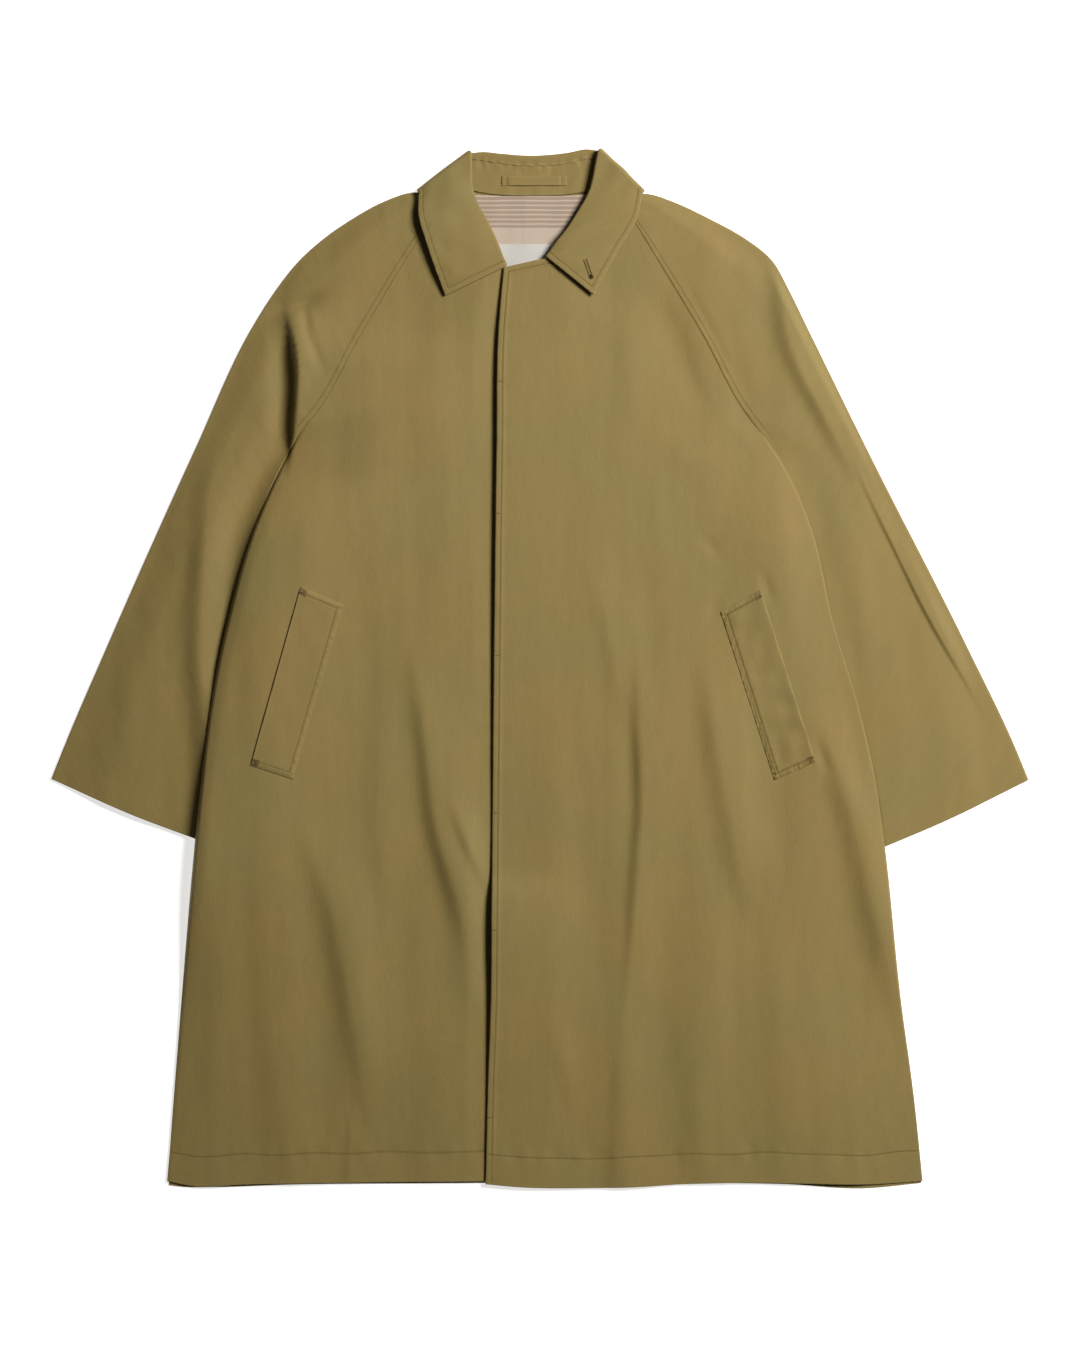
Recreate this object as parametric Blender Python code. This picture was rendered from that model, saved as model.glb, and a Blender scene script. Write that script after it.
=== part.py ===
"""A gabardine raglan coat with a fly front, laid flat on its back with its sleeves beside it.

X runs across the coat to the viewer's right, Y up the coat towards the collar and Z up from the
surface it lies on. Left and right are the wearer's. Sizes are millimetres until make_object
turns them into metres.

The layers from the surface up: the collar leaf behind the neck, the sleeve backs, the body back,
the lining and label in the neck, the sleeve fronts and right front, the left front, and on top
the pocket welts and the front ends of the collar leaf.
"""

from collections import namedtuple

import bmesh
import bpy
import numpy as np
from mathutils import Vector

MM = 0.001

# Walls and clearances
CLOTH = 1.2
LINING = 1.0
LEAF = 1.6
STAND = 1.4
WELT = 1.6
SEAM_GAP = 0.3
LAYER = CLOTH + SEAM_GAP
LINING_BASE = LAYER + 0.2

# Sizes of the cut
FLY_OVERLAP = 46.0
HEM_DEPTH = 31.0
HEM_STEP = 0.5
BACK_HEM_DROP = 3.0
CUFF_BOW = 3.0
LIP = 9.0
LINING_FOOT = (-64.0, 45.0, 408.0)
LABEL_WIDTH = 62.0
LABEL_HEIGHT = 28.0
LABEL_TOP = (-14.0, 445.5)
LOOP_LENGTH = 68.0
LOOP_WIDTH = 10.0
LOOP_TOP = (-6.0, 517.0)
LOOP_BOW = 0.6

# How far the layers stand up where they cross
LEAF_RISE = LEAF + SEAM_GAP + 0.4
NECK_STACK = 5.4
SLEEVE_STACK = 3.3
TUCK_REACH = (40.0, 100.0)
TUCK_RAMP = 60.0
FLY_FADE = 80.0
FRONT_LOFT = 3.5
RAGLAN_LOFT = 2.0
SLEEVE_LOFT = 3.0
ROLL_RADIUS = 1.3
TURN_REACH = 0.6

# The neck is a low mound: an ellipse round the collar, and how many times its size it fades over
NECK_CENTRE = np.array([-9.6, 512.0])
NECK_HALF = np.array([150.0, 66.0])
UNDER_FADE = (1.0, 2.0)
UPPER_FADE = (1.1, 2.6)
LOFT_FADE = (1.1, 2.4)

# Body: one row for each level, with the raglan seams above the armpits and the sides below
Level = namedtuple("Level", "y right left")
ARMPIT_Y = 243.6
BODY_LEVELS = (
    Level(485.5, -104.0, 89.0),
    Level(438.0, -135.5, 118.0),
    Level(352.0, -187.0, 170.0),
    Level(269.0, -233.0, 215.5),
    Level(ARMPIT_Y, -254.0, 235.0),
    Level(218.0, -268.0, 252.5),
    Level(150.0, -304.5, 283.5),
    Level(50.0, -330.5, 307.0),
    Level(-40.0, -345.5, 334.0),
    Level(-120.0, -355.0, 352.0),
    Level(-185.0, -361.5, 361.0),
    Level(-345.0, -375.5, 378.0),
    Level(-450.0, -384.0, 392.5),
    Level(-537.5, -391.0, 401.6),
)
NECK_LEVEL = BODY_LEVELS[0]
ARMPIT_LEVEL = BODY_LEVELS[4]
HEM_LEVEL = BODY_LEVELS[-1]
OUTWARD = {"right": -1.0, "left": 1.0}

# Edge of the overlapping left front, from the neck to the hem, and how far it stands off
FrontEdge = namedtuple("FrontEdge", "y x lift")
FRONT_EDGE = (
    FrontEdge(420.6, -38.2, 0.6),
    FrontEdge(356.0, -43.6, 3.0),
    FrontEdge(230.0, -45.7, 3.5),
    FrontEdge(72.0, -47.8, 2.2),
    FrontEdge(-85.0, -49.4, 0.8),
    FrontEdge(-200.0, -50.4, 1.2),
    FrontEdge(-270.0, -51.0, 5.0),
    FrontEdge(-337.0, -51.5, 3.6),
    FrontEdge(-431.0, -54.6, 1.0),
    FrontEdge(-540.2, -57.2, 0.6),
)

# Sleeves: a row for each section from the neck to the cuff, overarm edge first
SleeveLevel = namedtuple("SleeveLevel", "right_x right_y left_x left_y")
OVERARM = (
    SleeveLevel(-93.0, 509.0, 76.0, 509.0),
    SleeveLevel(-122.0, 494.0, 103.5, 494.0),
    SleeveLevel(-136.5, 499.5, 116.5, 497.8),
    SleeveLevel(-158.6, 492.3, 133.5, 492.3),
    SleeveLevel(-198.5, 471.0, 179.0, 471.5),
    SleeveLevel(-228.0, 450.5, 217.0, 450.5),
    SleeveLevel(-251.5, 429.5, 243.0, 429.5),
    SleeveLevel(-276.0, 399.0, 260.5, 399.0),
    SleeveLevel(-300.3, 361.2, 279.0, 361.2),
    SleeveLevel(-362.0, 230.0, 343.4, 230.0),
    SleeveLevel(-455.7, 20.0, 449.8, 20.0),
    SleeveLevel(-500.6, -85.0, 499.8, -85.0),
    SleeveLevel(-512.6, -115.5, 512.6, -116.6),
)
UNDERARM = (
    SleeveLevel(-306.0, 100.0, 284.0, 110.0),
    SleeveLevel(-325.0, 0.0, 305.0, 0.0),
    SleeveLevel(-333.0, -100.0, 327.0, -120.0),
    SleeveLevel(-337.1, -187.0, 338.1, -196.3),
)

# Necklines and hems: the fronts' from the centre outwards, the back's from right to left
Point = namedtuple("Point", "x y")
NECK_RIGHT = (Point(7.0, 424.0), Point(-39.0, 415.5), Point(-66.0, 428.0), Point(-89.0, 453.0))
NECK_LEFT = (Point(-38.2, 420.6), Point(6.8, 430.5), Point(44.0, 437.0), Point(70.4, 459.0))
NECK_BACK = (Point(-88.0, 503.0), Point(-52.0, 496.6), Point(-9.6, 495.0), Point(33.0, 496.6),
             Point(69.0, 503.0))
NECK_LINING = (Point(-76.0, 498.5), Point(-52.0, 495.2), Point(-9.6, 493.6), Point(33.0, 495.2),
               Point(57.0, 498.5))
HEM_RIGHT = (Point(-9.5, -537.5), Point(-58.0, -537.6), Point(-224.0, -539.4),
             Point(-308.0, -540.8), Point(-366.0, -542.3))
HEM_LEFT = (Point(-57.2, -540.2), Point(-22.0, -543.4), Point(48.0, -544.6), Point(103.0, -543.4),
            Point(150.0, -540.6), Point(200.0, -539.4), Point(273.0, -539.7), Point(352.0, -540.6))
HEM_BACK = (Point(-389.5, -539.0), Point(-374.0, -540.8), Point(-345.0, -541.0),
            Point(-265.0, -538.4), Point(-120.0, -537.0), Point(150.0, -536.5),
            Point(255.0, -537.8), Point(343.0, -542.0), Point(400.0, -536.5))

# Collar: a row for each station from the right front end round the back to the left front end.
# Each gives the rolled edge, the fall (the leaf's outer edge), the neck seam and the heights of
# the leaf's middle at roll and fall. The rows on the table side are marked under.
Station = namedtuple("Station", "under roll_x roll_y fall_x fall_y neck_x neck_y roll_z fall_z")
COLLAR = (
    Station(False, -37.5, 424.5, -99.4, 391.8, -41.0, 418.5, 11.6, 8.6),
    Station(False, -55.3, 466.0, -114.6, 445.5, -82.0, 448.0, 11.8, 8.9),
    Station(False, -71.0, 497.0, -122.0, 474.0, -100.0, 480.0, 11.8, 9.6),
    Station(False, -73.5, 539.6, -126.8, 498.6, -92.0, 509.0, 11.8, 10.4),
    Station(True, -73.5, 539.6, -126.8, 498.6, -92.0, 509.0, 0.8, 0.8),
    Station(True, -62.0, 540.6, -103.0, 489.0, -72.0, 501.0, 0.8, 0.8),
    Station(True, -42.0, 538.7, -68.0, 478.0, -50.0, 497.0, 0.8, 0.8),
    Station(True, -12.0, 536.4, -9.6, 468.0, -9.6, 495.4, 0.8, 0.8),
    Station(True, 30.0, 539.6, 51.0, 478.0, 31.0, 497.0, 0.8, 0.8),
    Station(True, 50.0, 543.3, 84.0, 489.0, 53.0, 501.0, 0.8, 0.8),
    Station(True, 61.5, 541.7, 107.4, 498.6, 74.0, 509.0, 0.8, 0.8),
    Station(False, 61.5, 541.7, 107.4, 498.6, 74.0, 509.0, 11.8, 10.4),
    Station(False, 48.7, 497.0, 97.0, 470.0, 84.0, 480.0, 12.2, 10.6),
    Station(False, 31.2, 462.0, 76.8, 435.0, 62.0, 455.0, 12.8, 10.8),
    Station(False, 9.0, 433.2, 55.8, 392.8, 14.0, 437.0, 13.8, 10.8),
)

# Slanted welts, the corners from the top of the opening edge round to its foot
WELT_RIGHT = (Point(-249.9, 86.1), Point(-205.3, 67.2), Point(-258.3, -115.5), Point(-302.4, -100.8))
WELT_LEFT = (Point(231.0, 83.0), Point(189.0, 59.9), Point(245.7, -116.6), Point(288.8, -97.7))

# The largest folds: a path of three points, half its width, and its height (troughs below zero)
Fold = namedtuple("Fold", "x0 y0 x1 y1 x2 y2 width height")
SLEEVE_RIGHT_FOLDS = (
    Fold(-268, 385, -263, 310, -258, 246, 9, -4.5),
    Fold(-293, 380, -286, 305, -280, 228, 14, 6.0),
    Fold(-248, 376, -240, 318, -246, 262, 12, 4.5),
    Fold(-350, 225, -364, 103, -368, -15, 15, -3.5),
    Fold(-328, 170, -338, 80, -350, -30, 13, 3.0),
)
SLEEVE_LEFT_FOLDS = (
    Fold(247, 400, 311, 205, 447, -30, 8, -2.6),
    Fold(232, 385, 262, 300, 300, 200, 16, 2.5),
    Fold(196, 355, 206, 322, 214, 280, 10, 2.0),
)
FRONT_RIGHT_FOLDS = (
    Fold(-130, 30, -124, -100, -78, -232, 15, -3.4),
    Fold(-160, -60, -150, -180, -105, -300, 18, 2.6),
    Fold(-250, -235, -224, -305, -198, -405, 17, -3.4),
    Fold(-272, -215, -255, -320, -232, -430, 20, 2.4),
    Fold(-180, -150, -166, -260, -150, -360, 16, 2.2),
)
FRONT_LEFT_FOLDS = (
    Fold(90, -55, 97, -155, 78, -315, 13, -3.6),
    Fold(122, -40, 128, -160, 116, -300, 18, 3.0),
    Fold(62, 60, 72, -10, 80, -60, 15, -2.2),
    Fold(174, -45, 184, -125, 204, -175, 14, -2.8),
    Fold(283, -108, 318, -192, 368, -330, 15, -3.6),
    Fold(240, -150, 282, -240, 322, -330, 20, 2.4),
)

# Columns and rows of each wall, the rows above the armpit and below it
FRONT_COLUMNS = 25
BACK_COLUMNS = 12
SLEEVE_COLUMNS = 14
SLEEVE_BACK_COLUMNS = 6
BODY_ROWS = (14, 18)
SLEEVE_ROWS = (14, 15)
SLEEVE_BACK_ROWS = (14, 8)
COLLAR_STEPS = 4
TURN_STEPS = 5
LEAF_STEPS = 4
ROLL_STEPS = 4

GABARDINE = ("gabardine", (0.262, 0.196, 0.088), 0.78)
STRIPE = ("striped lining", (0.66, 0.52, 0.42), 0.7)
TAPE = ("label tape", (0.86, 0.86, 0.87), 0.6)


# Curves in plan


def curve(points, count=200):
    """A dense smooth line through the points: cubic pieces whose slopes follow their neighbours."""
    p = np.array(points, float)
    chord = np.r_[0.0, np.cumsum(np.linalg.norm(np.diff(p, axis=0), axis=1))]
    if len(p) == 2:
        return p[0] + np.linspace(0, 1, count)[:, None] * (p[1] - p[0])
    slope = np.gradient(p, chord, axis=0)
    t = np.linspace(0, chord[-1], count)
    i = np.clip(np.searchsorted(chord, t, side="right") - 1, 0, len(p) - 2)
    span = (chord[i + 1] - chord[i])[:, None]
    s = (t - chord[i])[:, None] / span
    return (p[i] * (1 + 2 * s) * (1 - s) ** 2 + p[i + 1] * s**2 * (3 - 2 * s)
            + span * slope[i] * s * (1 - s) ** 2 + span * slope[i + 1] * s**2 * (s - 1))


def walk(line, share):
    """Points at these shares of a dense line's length."""
    along = np.r_[0.0, np.cumsum(np.linalg.norm(np.diff(line, axis=0), axis=1))]
    at = np.asarray(share) * along[-1]
    return np.stack([np.interp(at, along, line[:, k]) for k in range(line.shape[1])], axis=-1)


def patch(top, bottom, start, end, shares_across, shares_down):
    """A four-sided grid of plan points filling the space between its four edge lines."""
    u = shares_across[None, :, None]
    v = shares_down[:, None, None]
    t, b = walk(top, shares_across), walk(bottom, shares_across)
    s, e = walk(start, shares_down), walk(end, shares_down)
    across = s[:, None] * (1 - u) + e[:, None] * u
    down = t[None] * (1 - v) + b[None] * v
    corners = ((1 - u) * (1 - v) * t[0] + u * (1 - v) * t[-1]
               + (1 - u) * v * b[0] + u * v * b[-1])
    return across + down - corners


def ease(x, low, high):
    """0 below low, 1 above high and a smooth rise between them."""
    s = np.clip((np.asarray(x, float) - low) / (high - low), 0, 1)
    return s * s * (3 - 2 * s)


def body_edge(side):
    """The raglan seam and side of the body as one line, from the neck to the hem."""
    return curve([(getattr(level, side), level.y) for level in BODY_LEVELS])


def sleeve_line(side, rows, before=()):
    return curve([*before, *((getattr(row, side + "_x"), getattr(row, side + "_y")) for row in rows)])


def underarm(side):
    """The underarm: beside the body just below the armpit, then running under it."""
    edge = body_edge(side)
    beside = edge[(edge[:, 1] < ARMPIT_Y) & (edge[:, 1] > ARMPIT_Y - TUCK_RAMP)][::3]
    clear = np.array([2 * SEAM_GAP * OUTWARD[side], 0.0])
    return sleeve_line(side, UNDERARM, before=beside + clear)


def raglan(side, gap=0.0):
    """The raglan seam alone, moved off the body by a gap."""
    edge = body_edge(side)
    return edge[edge[:, 1] > ARMPIT_Y] + np.array([gap * OUTWARD[side], gap])


# Heights of the layers


def neck_distance(plan):
    """1 on the neck's ellipse, growing outwards."""
    return np.linalg.norm((plan - NECK_CENTRE) / NECK_HALF, axis=-1)


def under_base(plan):
    """Underside of the lower layer: on the table, but over the collar leaf at the neck."""
    return LEAF_RISE * (1 - ease(neck_distance(plan), *UNDER_FADE))


def upper_base(plan):
    """Underside of the upper layer before any loft."""
    return LAYER + NECK_STACK * (1 - ease(neck_distance(plan), *UPPER_FADE))


def tuck_lift(plan):
    """How far the body is carried up along its sides by the sleeves under it."""
    y = plan[..., 1]
    inside = np.full(y.shape, np.inf)
    for side, outward in OUTWARD.items():
        edge = body_edge(side)[::-1]
        from_edge = plan[..., 0] - np.interp(y, edge[:, 1], edge[:, 0])
        inside = np.minimum(inside, -outward * from_edge)
    foot = UNDERARM[-1].left_y
    along = ease(ARMPIT_Y - y, 0, TUCK_RAMP) * (1 - ease(foot - y, 20, 20 + 3 * TUCK_RAMP))
    return SLEEVE_STACK * along * (1 - ease(inside, *TUCK_REACH))


def fold_heights(plan, folds):
    """The folds' heights: each a soft round ridge or trough along its path, fading at its ends."""
    height = np.zeros(plan.shape[:-1])
    for fold in folds:
        path = curve(((fold.x0, fold.y0), (fold.x1, fold.y1), (fold.x2, fold.y2)), 40)
        gap = np.linalg.norm(plan[..., None, :] - path, axis=-1)
        share = gap.argmin(axis=-1) / (len(path) - 1)
        fade = ease(share, 0, 0.3) * (1 - ease(share, 0.7, 1))
        height += fold.height * fade * np.exp(-((gap.min(axis=-1) / fold.width) ** 2))
    return height


def raglan_loft(plan):
    """Loft along the raglan seam, shared by the front and the sleeve, gone below the armpit."""
    return RAGLAN_LOFT * (1 - ease(ARMPIT_Y - plan[..., 1], 0, TUCK_RAMP))


# Solids


def material_of(look):
    name, colour, roughness = look
    found = bpy.data.materials.get(name)
    if found:
        return found
    made = bpy.data.materials.new(name)
    made.use_nodes = True
    shader = made.node_tree.nodes["Principled BSDF"]
    shader.inputs["Base Color"].default_value = (*colour, 1.0)
    shader.inputs["Roughness"].default_value = roughness
    made.diffuse_color = (*colour, 1.0)
    return made


def make_object(name, mesh_parts, look):
    """A named object in metres from a bmesh in millimetres, shaded smooth over its soft forms."""
    bmesh.ops.recalc_face_normals(mesh_parts, faces=mesh_parts.faces)
    bmesh.ops.scale(mesh_parts, vec=Vector((MM, MM, MM)), verts=mesh_parts.verts)
    mesh = bpy.data.meshes.new(name)
    mesh_parts.to_mesh(mesh)
    mesh_parts.free()
    mesh.shade_smooth()
    mesh.set_sharp_from_angle(angle=0.7)
    mesh.materials.append(material_of(look))
    made = bpy.data.objects.new(name, mesh)
    bpy.context.scene.collection.objects.link(made)
    made.parent = bpy.data.objects["coat"]
    return made


def sheet_faces(work, points):
    """Faces over a grid of points, rows down and columns across."""
    rows, columns = points.shape[:2]
    verts = [[work.verts.new(points[r, c]) for c in range(columns)] for r in range(rows)]
    for r in range(rows - 1):
        for c in range(columns - 1):
            work.faces.new((verts[r][c], verts[r][c + 1], verts[r + 1][c + 1], verts[r + 1][c]))


def thicken(work, wall):
    """Closes a sheet into a wall by pulling a copy of its faces straight up."""
    copied = bmesh.ops.extrude_face_region(work, geom=work.faces[:], use_keep_orig=True)
    for item in copied["geom"]:
        if isinstance(item, bmesh.types.BMVert):
            item.co.z += wall(item.co) if callable(wall) else wall


def cloth_wall(name, plan, underside, look, wall=CLOTH):
    work = bmesh.new()
    sheet_faces(work, np.dstack([plan, underside]))
    thicken(work, wall)
    return make_object(name, work, look)


def hemmed(hem_line):
    """Wall of a panel that is turned up and stitched along this hem."""
    line = hem_line[np.argsort(hem_line[:, 0])]

    def wall(place):
        above = place.y - np.interp(place.x, line[:, 0], line[:, 1])
        return CLOTH + HEM_STEP * (above < HEM_DEPTH)

    return wall


def shares(stops, counts):
    """Shares of a line with this many even steps between each two stops."""
    runs = [np.linspace(a, b, n + 1)[1:] for a, b, n in zip(stops, stops[1:], counts)]
    return np.concatenate([[stops[0]], *runs])


def body_rows(upper, lower):
    """Rows down the body: close above the armpit, and two together at the hem's stitching."""
    edge = body_edge("right")
    length = np.linalg.norm(np.diff(edge, axis=0), axis=1)
    armpit = length[edge[1:, 1] > ARMPIT_Y].sum() / length.sum()
    stitch = 1 - HEM_DEPTH / length.sum()
    step = 1.5 / length.sum()
    return shares((0, armpit, stitch - step, stitch + step, 1), (upper, lower, 1, 1))


# Body


def back_side(side, corner, foot):
    """A straight raglan seam, then the side just inside the front's, down to the hem's corner."""
    seam = curve([corner, (getattr(ARMPIT_LEVEL, side), ARMPIT_Y)])
    edge = body_edge(side)
    below = edge[edge[:, 1] < ARMPIT_Y][:-2] - np.array([CLOTH * OUTWARD[side], 0.0])
    return np.vstack([seam, below, foot])


def build_back():
    neck = curve(NECK_BACK)
    hem = curve(HEM_BACK) - np.array([0.0, BACK_HEM_DROP])
    start = back_side("right", neck[0], hem[0])
    end = back_side("left", neck[-1], hem[-1])
    across = np.linspace(0, 1, BACK_COLUMNS + 1)
    plan = patch(neck, hem, start, end, across, body_rows(*BODY_ROWS))
    return cloth_wall("back", plan, under_base(plan) + tuck_lift(plan), GABARDINE)


def from_front_edge(plan):
    """How far each point lies to the left of the left front's edge, and that edge's lift there."""
    y, x, lift = np.array(FRONT_EDGE[::-1]).T
    return plan[..., 0] - np.interp(plan[..., 1], y, x), np.interp(plan[..., 1], y, lift)


def front_height(plan, across, free, folds):
    """Underside of a front: on the back at the side, lofted inside, joined to the raglan seam."""
    base = upper_base(plan) + tuck_lift(plan)
    inside = ease(1 - across, 0, 0.3)[None, :]
    loft = raglan_loft(plan) * (1 - inside) + FRONT_LOFT * inside * free
    shaped = loft * ease(neck_distance(plan), *LOFT_FADE) + fold_heights(plan, folds) * free
    return base + np.maximum(shaped, 0)


def front_plan(side, neck_points, centre, hem_points, across):
    """A front's plan points, and its hem, between its centre edge and the body's side."""
    neck = curve((*neck_points, (getattr(NECK_LEVEL, side), NECK_LEVEL.y)))
    hem = curve((*hem_points, (getattr(HEM_LEVEL, side), HEM_LEVEL.y)))
    outer = np.vstack([body_edge(side)[:-2], hem[-1:]])
    return patch(neck, hem, curve(centre), outer, across, body_rows(*BODY_ROWS)), hem


def build_front_right():
    """The under front: it runs on below the left one by the fly's overlap."""
    lapped = [(row.x + FLY_OVERLAP, row.y) for row in FRONT_EDGE[2:-1]]
    across = np.linspace(0, 1, FRONT_COLUMNS + 1)
    plan, hem = front_plan("right", NECK_RIGHT, [NECK_RIGHT[0], *lapped, HEM_RIGHT[0]], HEM_RIGHT, across)
    from_edge, _ = from_front_edge(plan)
    height = front_height(plan, across, ease(-from_edge, 0, FLY_FADE), FRONT_RIGHT_FOLDS)
    return cloth_wall("front_right", plan, height, GABARDINE, hemmed(hem))


def build_front_left():
    """The upper front, with its edge standing off the one below it."""
    across = np.linspace(0, 1, FRONT_COLUMNS + 1) ** 1.15
    plan, hem = front_plan("left", NECK_LEFT, [(row.x, row.y) for row in FRONT_EDGE], HEM_LEFT, across)
    from_edge, lift = from_front_edge(plan)
    past_fly = from_edge - FLY_OVERLAP
    over_fly = (LAYER + lift) * (1 - ease(past_fly, 20, 20 + FLY_FADE))
    height = front_height(plan, across, ease(past_fly, 0, FLY_FADE), FRONT_LEFT_FOLDS)
    return cloth_wall("front_left", plan, height + over_fly, GABARDINE, hemmed(hem))


# Sleeves


def sleeve_plan(side, seam, across, rows):
    """A sleeve half between the overarm edge and its raglan seam run on into the underarm."""
    outer = sleeve_line(side, OVERARM)
    inner = np.vstack([seam, underarm(side)])
    length = np.linalg.norm(np.diff(inner, axis=0), axis=1)
    down = shares((0, length[:len(seam) - 1].sum() / length.sum(), 1), rows)
    top = curve([outer[0], inner[0]])
    bow = np.array([0.0, -CUFF_BOW])
    bottom = curve([outer[-1], (outer[-1] + inner[-1]) / 2 + bow, inner[-1]])
    return patch(top, bottom, outer, inner, across, down)


def build_sleeve_back(side):
    """The half on the table, seamed to the back along a straight raglan."""
    corner = NECK_BACK[0] if side == "right" else NECK_BACK[-1]
    seam = curve([corner, (getattr(ARMPIT_LEVEL, side), ARMPIT_Y)])
    clear = np.array([1.5 * SEAM_GAP * OUTWARD[side], 0.0])
    across = np.linspace(0, 1, SLEEVE_BACK_COLUMNS + 1)
    plan = sleeve_plan(side, seam + clear, across, SLEEVE_BACK_ROWS)
    return cloth_wall("sleeve_back_" + side, plan, under_base(plan), GABARDINE)


def build_sleeve_front(side, folds):
    """The upper half: raglan seam to the front, underarm tucked below the body."""
    across = np.linspace(0, 1, SLEEVE_COLUMNS + 1)
    plan = sleeve_plan(side, raglan(side, SEAM_GAP), across, SLEEVE_ROWS)
    floor = under_base(plan) + LAYER
    risen = ease(across, 0, 0.35)[None, :]
    base = floor + (upper_base(plan) - floor) * risen
    crown = SLEEVE_LOFT * risen * (1 - ease(across, 0.5, 0.78))[None, :]
    seam = raglan_loft(plan) * ease(across, 0.5, 0.9)[None, :]
    shaped = (crown + seam) * ease(neck_distance(plan), *LOFT_FADE)
    flat_tuck = 1 - ease(across, 0.7, 0.8)[None, :] * ease(ARMPIT_Y - plan[..., 1], -10, TUCK_RAMP)
    shaped = shaped + fold_heights(plan, folds) * risen * flat_tuck
    return cloth_wall("sleeve_front_" + side, plan, base + np.maximum(shaped, 0), GABARDINE)


# Collar


def collar_stations():
    """Roll, fall and neck points with the way into the neck, all round the collar.

    Rows on one side of the coat are joined by a smooth line. Between the upper and the under rows
    the collar turns round the side of the neck in a half circle.
    """
    runs, run = [], [COLLAR[0]]
    for row in COLLAR[1:]:
        if row.under != run[-1].under:
            runs.append(run)
            run = []
        run.append(row)
    runs.append(run)
    pieces = []
    for n, run in enumerate(runs):
        if n:
            pieces.append(side_turn(runs[n - 1][-1], run[0]))
        steps = np.linspace(0, 1, COLLAR_STEPS * (len(run) - 1) + 1)
        lines = [
            walk(curve([(r.roll_x, r.roll_y, r.roll_z) for r in run]), steps),
            walk(curve([(r.fall_x, r.fall_y, r.fall_z) for r in run]), steps),
            walk(curve([(r.neck_x, r.neck_y, neck_height(r, r.under)) for r in run]), steps),
            np.tile([0.0, 0.0, 1.0 if run[0].under else -1.0], (len(steps), 1)),
        ]
        pieces.append(np.stack(lines, axis=1))
    return np.concatenate(pieces)


def neck_height(row, under):
    """Middle of the stand at the neck seam, level with the panel that is sewn to it there."""
    base = under_base if under else upper_base
    return float(base(np.array([row.neck_x, row.neck_y]))) + STAND / 2 + 0.2


def side_turn(before, after):
    """Stations of the half circle round the side of the neck, between two rows at one place."""
    low, high = sorted((before, after), key=lambda row: row.roll_z)
    angles = np.linspace(0, np.pi, TURN_STEPS + 2)[1:-1]
    if before is low:
        angles = angles[::-1]
    along = np.array([low.fall_x - low.roll_x, low.fall_y - low.roll_y])
    along /= np.linalg.norm(along)
    out = np.array([along[1], -along[0]])
    out *= np.sign(out[1])
    roll = (low.roll_x, low.roll_y, low.roll_z, high.roll_z)
    fall = (low.fall_x, low.fall_y, low.fall_z, high.fall_z)
    neck = (low.neck_x, low.neck_y, neck_height(low, True), neck_height(high, False))
    stations = []
    for angle in angles:
        points = []
        for x, y, z_low, z_high in (roll, fall, neck):
            radius = (z_high - z_low) / 2
            reach = out * TURN_REACH * radius * np.sin(angle)
            points.append((x + reach[0], y + reach[1], z_low + radius + radius * np.cos(angle)))
        inward = (-out[0] * np.sin(angle), -out[1] * np.sin(angle), -np.cos(angle))
        stations.append([*points, inward])
    return np.array(stations)


def lip_lengths(stations):
    """The leaf's turned-in lip: full round the back, short where the stand runs out in front."""
    depth = np.linalg.norm(stations[:, 2] - stations[:, 0], axis=1)
    return np.minimum(LIP, depth * 0.4)


def ribbon(name, grid, wall, look):
    """A sheet over a grid of points, made a wall of even thickness about its middle."""
    work = bmesh.new()
    sheet_faces(work, grid)
    made = make_object(name, work, look)
    solid = made.modifiers.new("wall", "SOLIDIFY")
    solid.thickness = wall * MM
    solid.offset = 0.0
    return made


def past_roll(stations):
    """The way from the fall past the roll, at each station."""
    beyond = stations[:, 0] - stations[:, 1]
    return beyond / np.linalg.norm(beyond, axis=1)[:, None]


def build_collar_leaf():
    """Fall edge up to the roll, round it in a half circle and down the lip inside the neck."""
    stations = collar_stations()
    roll, fall, inward = stations[:, 0], stations[:, 1], stations[:, 3]
    beyond = past_roll(stations)
    rows = [fall + (roll - fall) * share for share in np.linspace(0, 1, LEAF_STEPS + 1)]
    for angle in np.linspace(0, np.pi, ROLL_STEPS + 1)[1:]:
        rows.append(roll + ROLL_RADIUS * (inward * (1 - np.cos(angle)) + beyond * np.sin(angle)))
    rows.append(rows[-1] - beyond * lip_lengths(stations)[:, None])
    return ribbon("collar_leaf", np.stack(rows, axis=1), LEAF, GABARDINE)


def build_collar_stand():
    """From the leaf's lip down to the neck seam."""
    stations = collar_stations()[2:-2]
    roll, neck, inward = stations[:, 0], stations[:, 2], stations[:, 3]
    down = (lip_lengths(stations) + 2 * SEAM_GAP)[:, None]
    top = roll + 2 * ROLL_RADIUS * inward - past_roll(stations) * down
    rows = [top + (neck - top) * share for share in np.linspace(0, 0.97, 4)]
    return ribbon("collar_stand", np.stack(rows, axis=1), STAND, GABARDINE)


# Neck furnishings


def build_lining():
    """The part of the back lining that shows in the neck."""
    right, left, foot_y = LINING_FOOT
    top = curve(NECK_LINING)
    foot = curve([(right, foot_y), (left, foot_y)])
    start, end = curve([top[0], foot[0]]), curve([top[-1], foot[-1]])
    plan = patch(top, foot, start, end, shares((0, 1), (10,)), shares((0, 1), (8,)))
    return cloth_wall("lining", plan, under_base(plan) + LINING_BASE, STRIPE, LINING)


def strip_plan(top_centre, width, height, columns, rows):
    """A plain rectangle hanging from the middle of its top edge."""
    x = top_centre[0] + width * (shares((0, 1), (columns,)) - 0.5)
    y = top_centre[1] - height * shares((0, 1), (rows,))
    return np.dstack(np.meshgrid(x, y))


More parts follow.
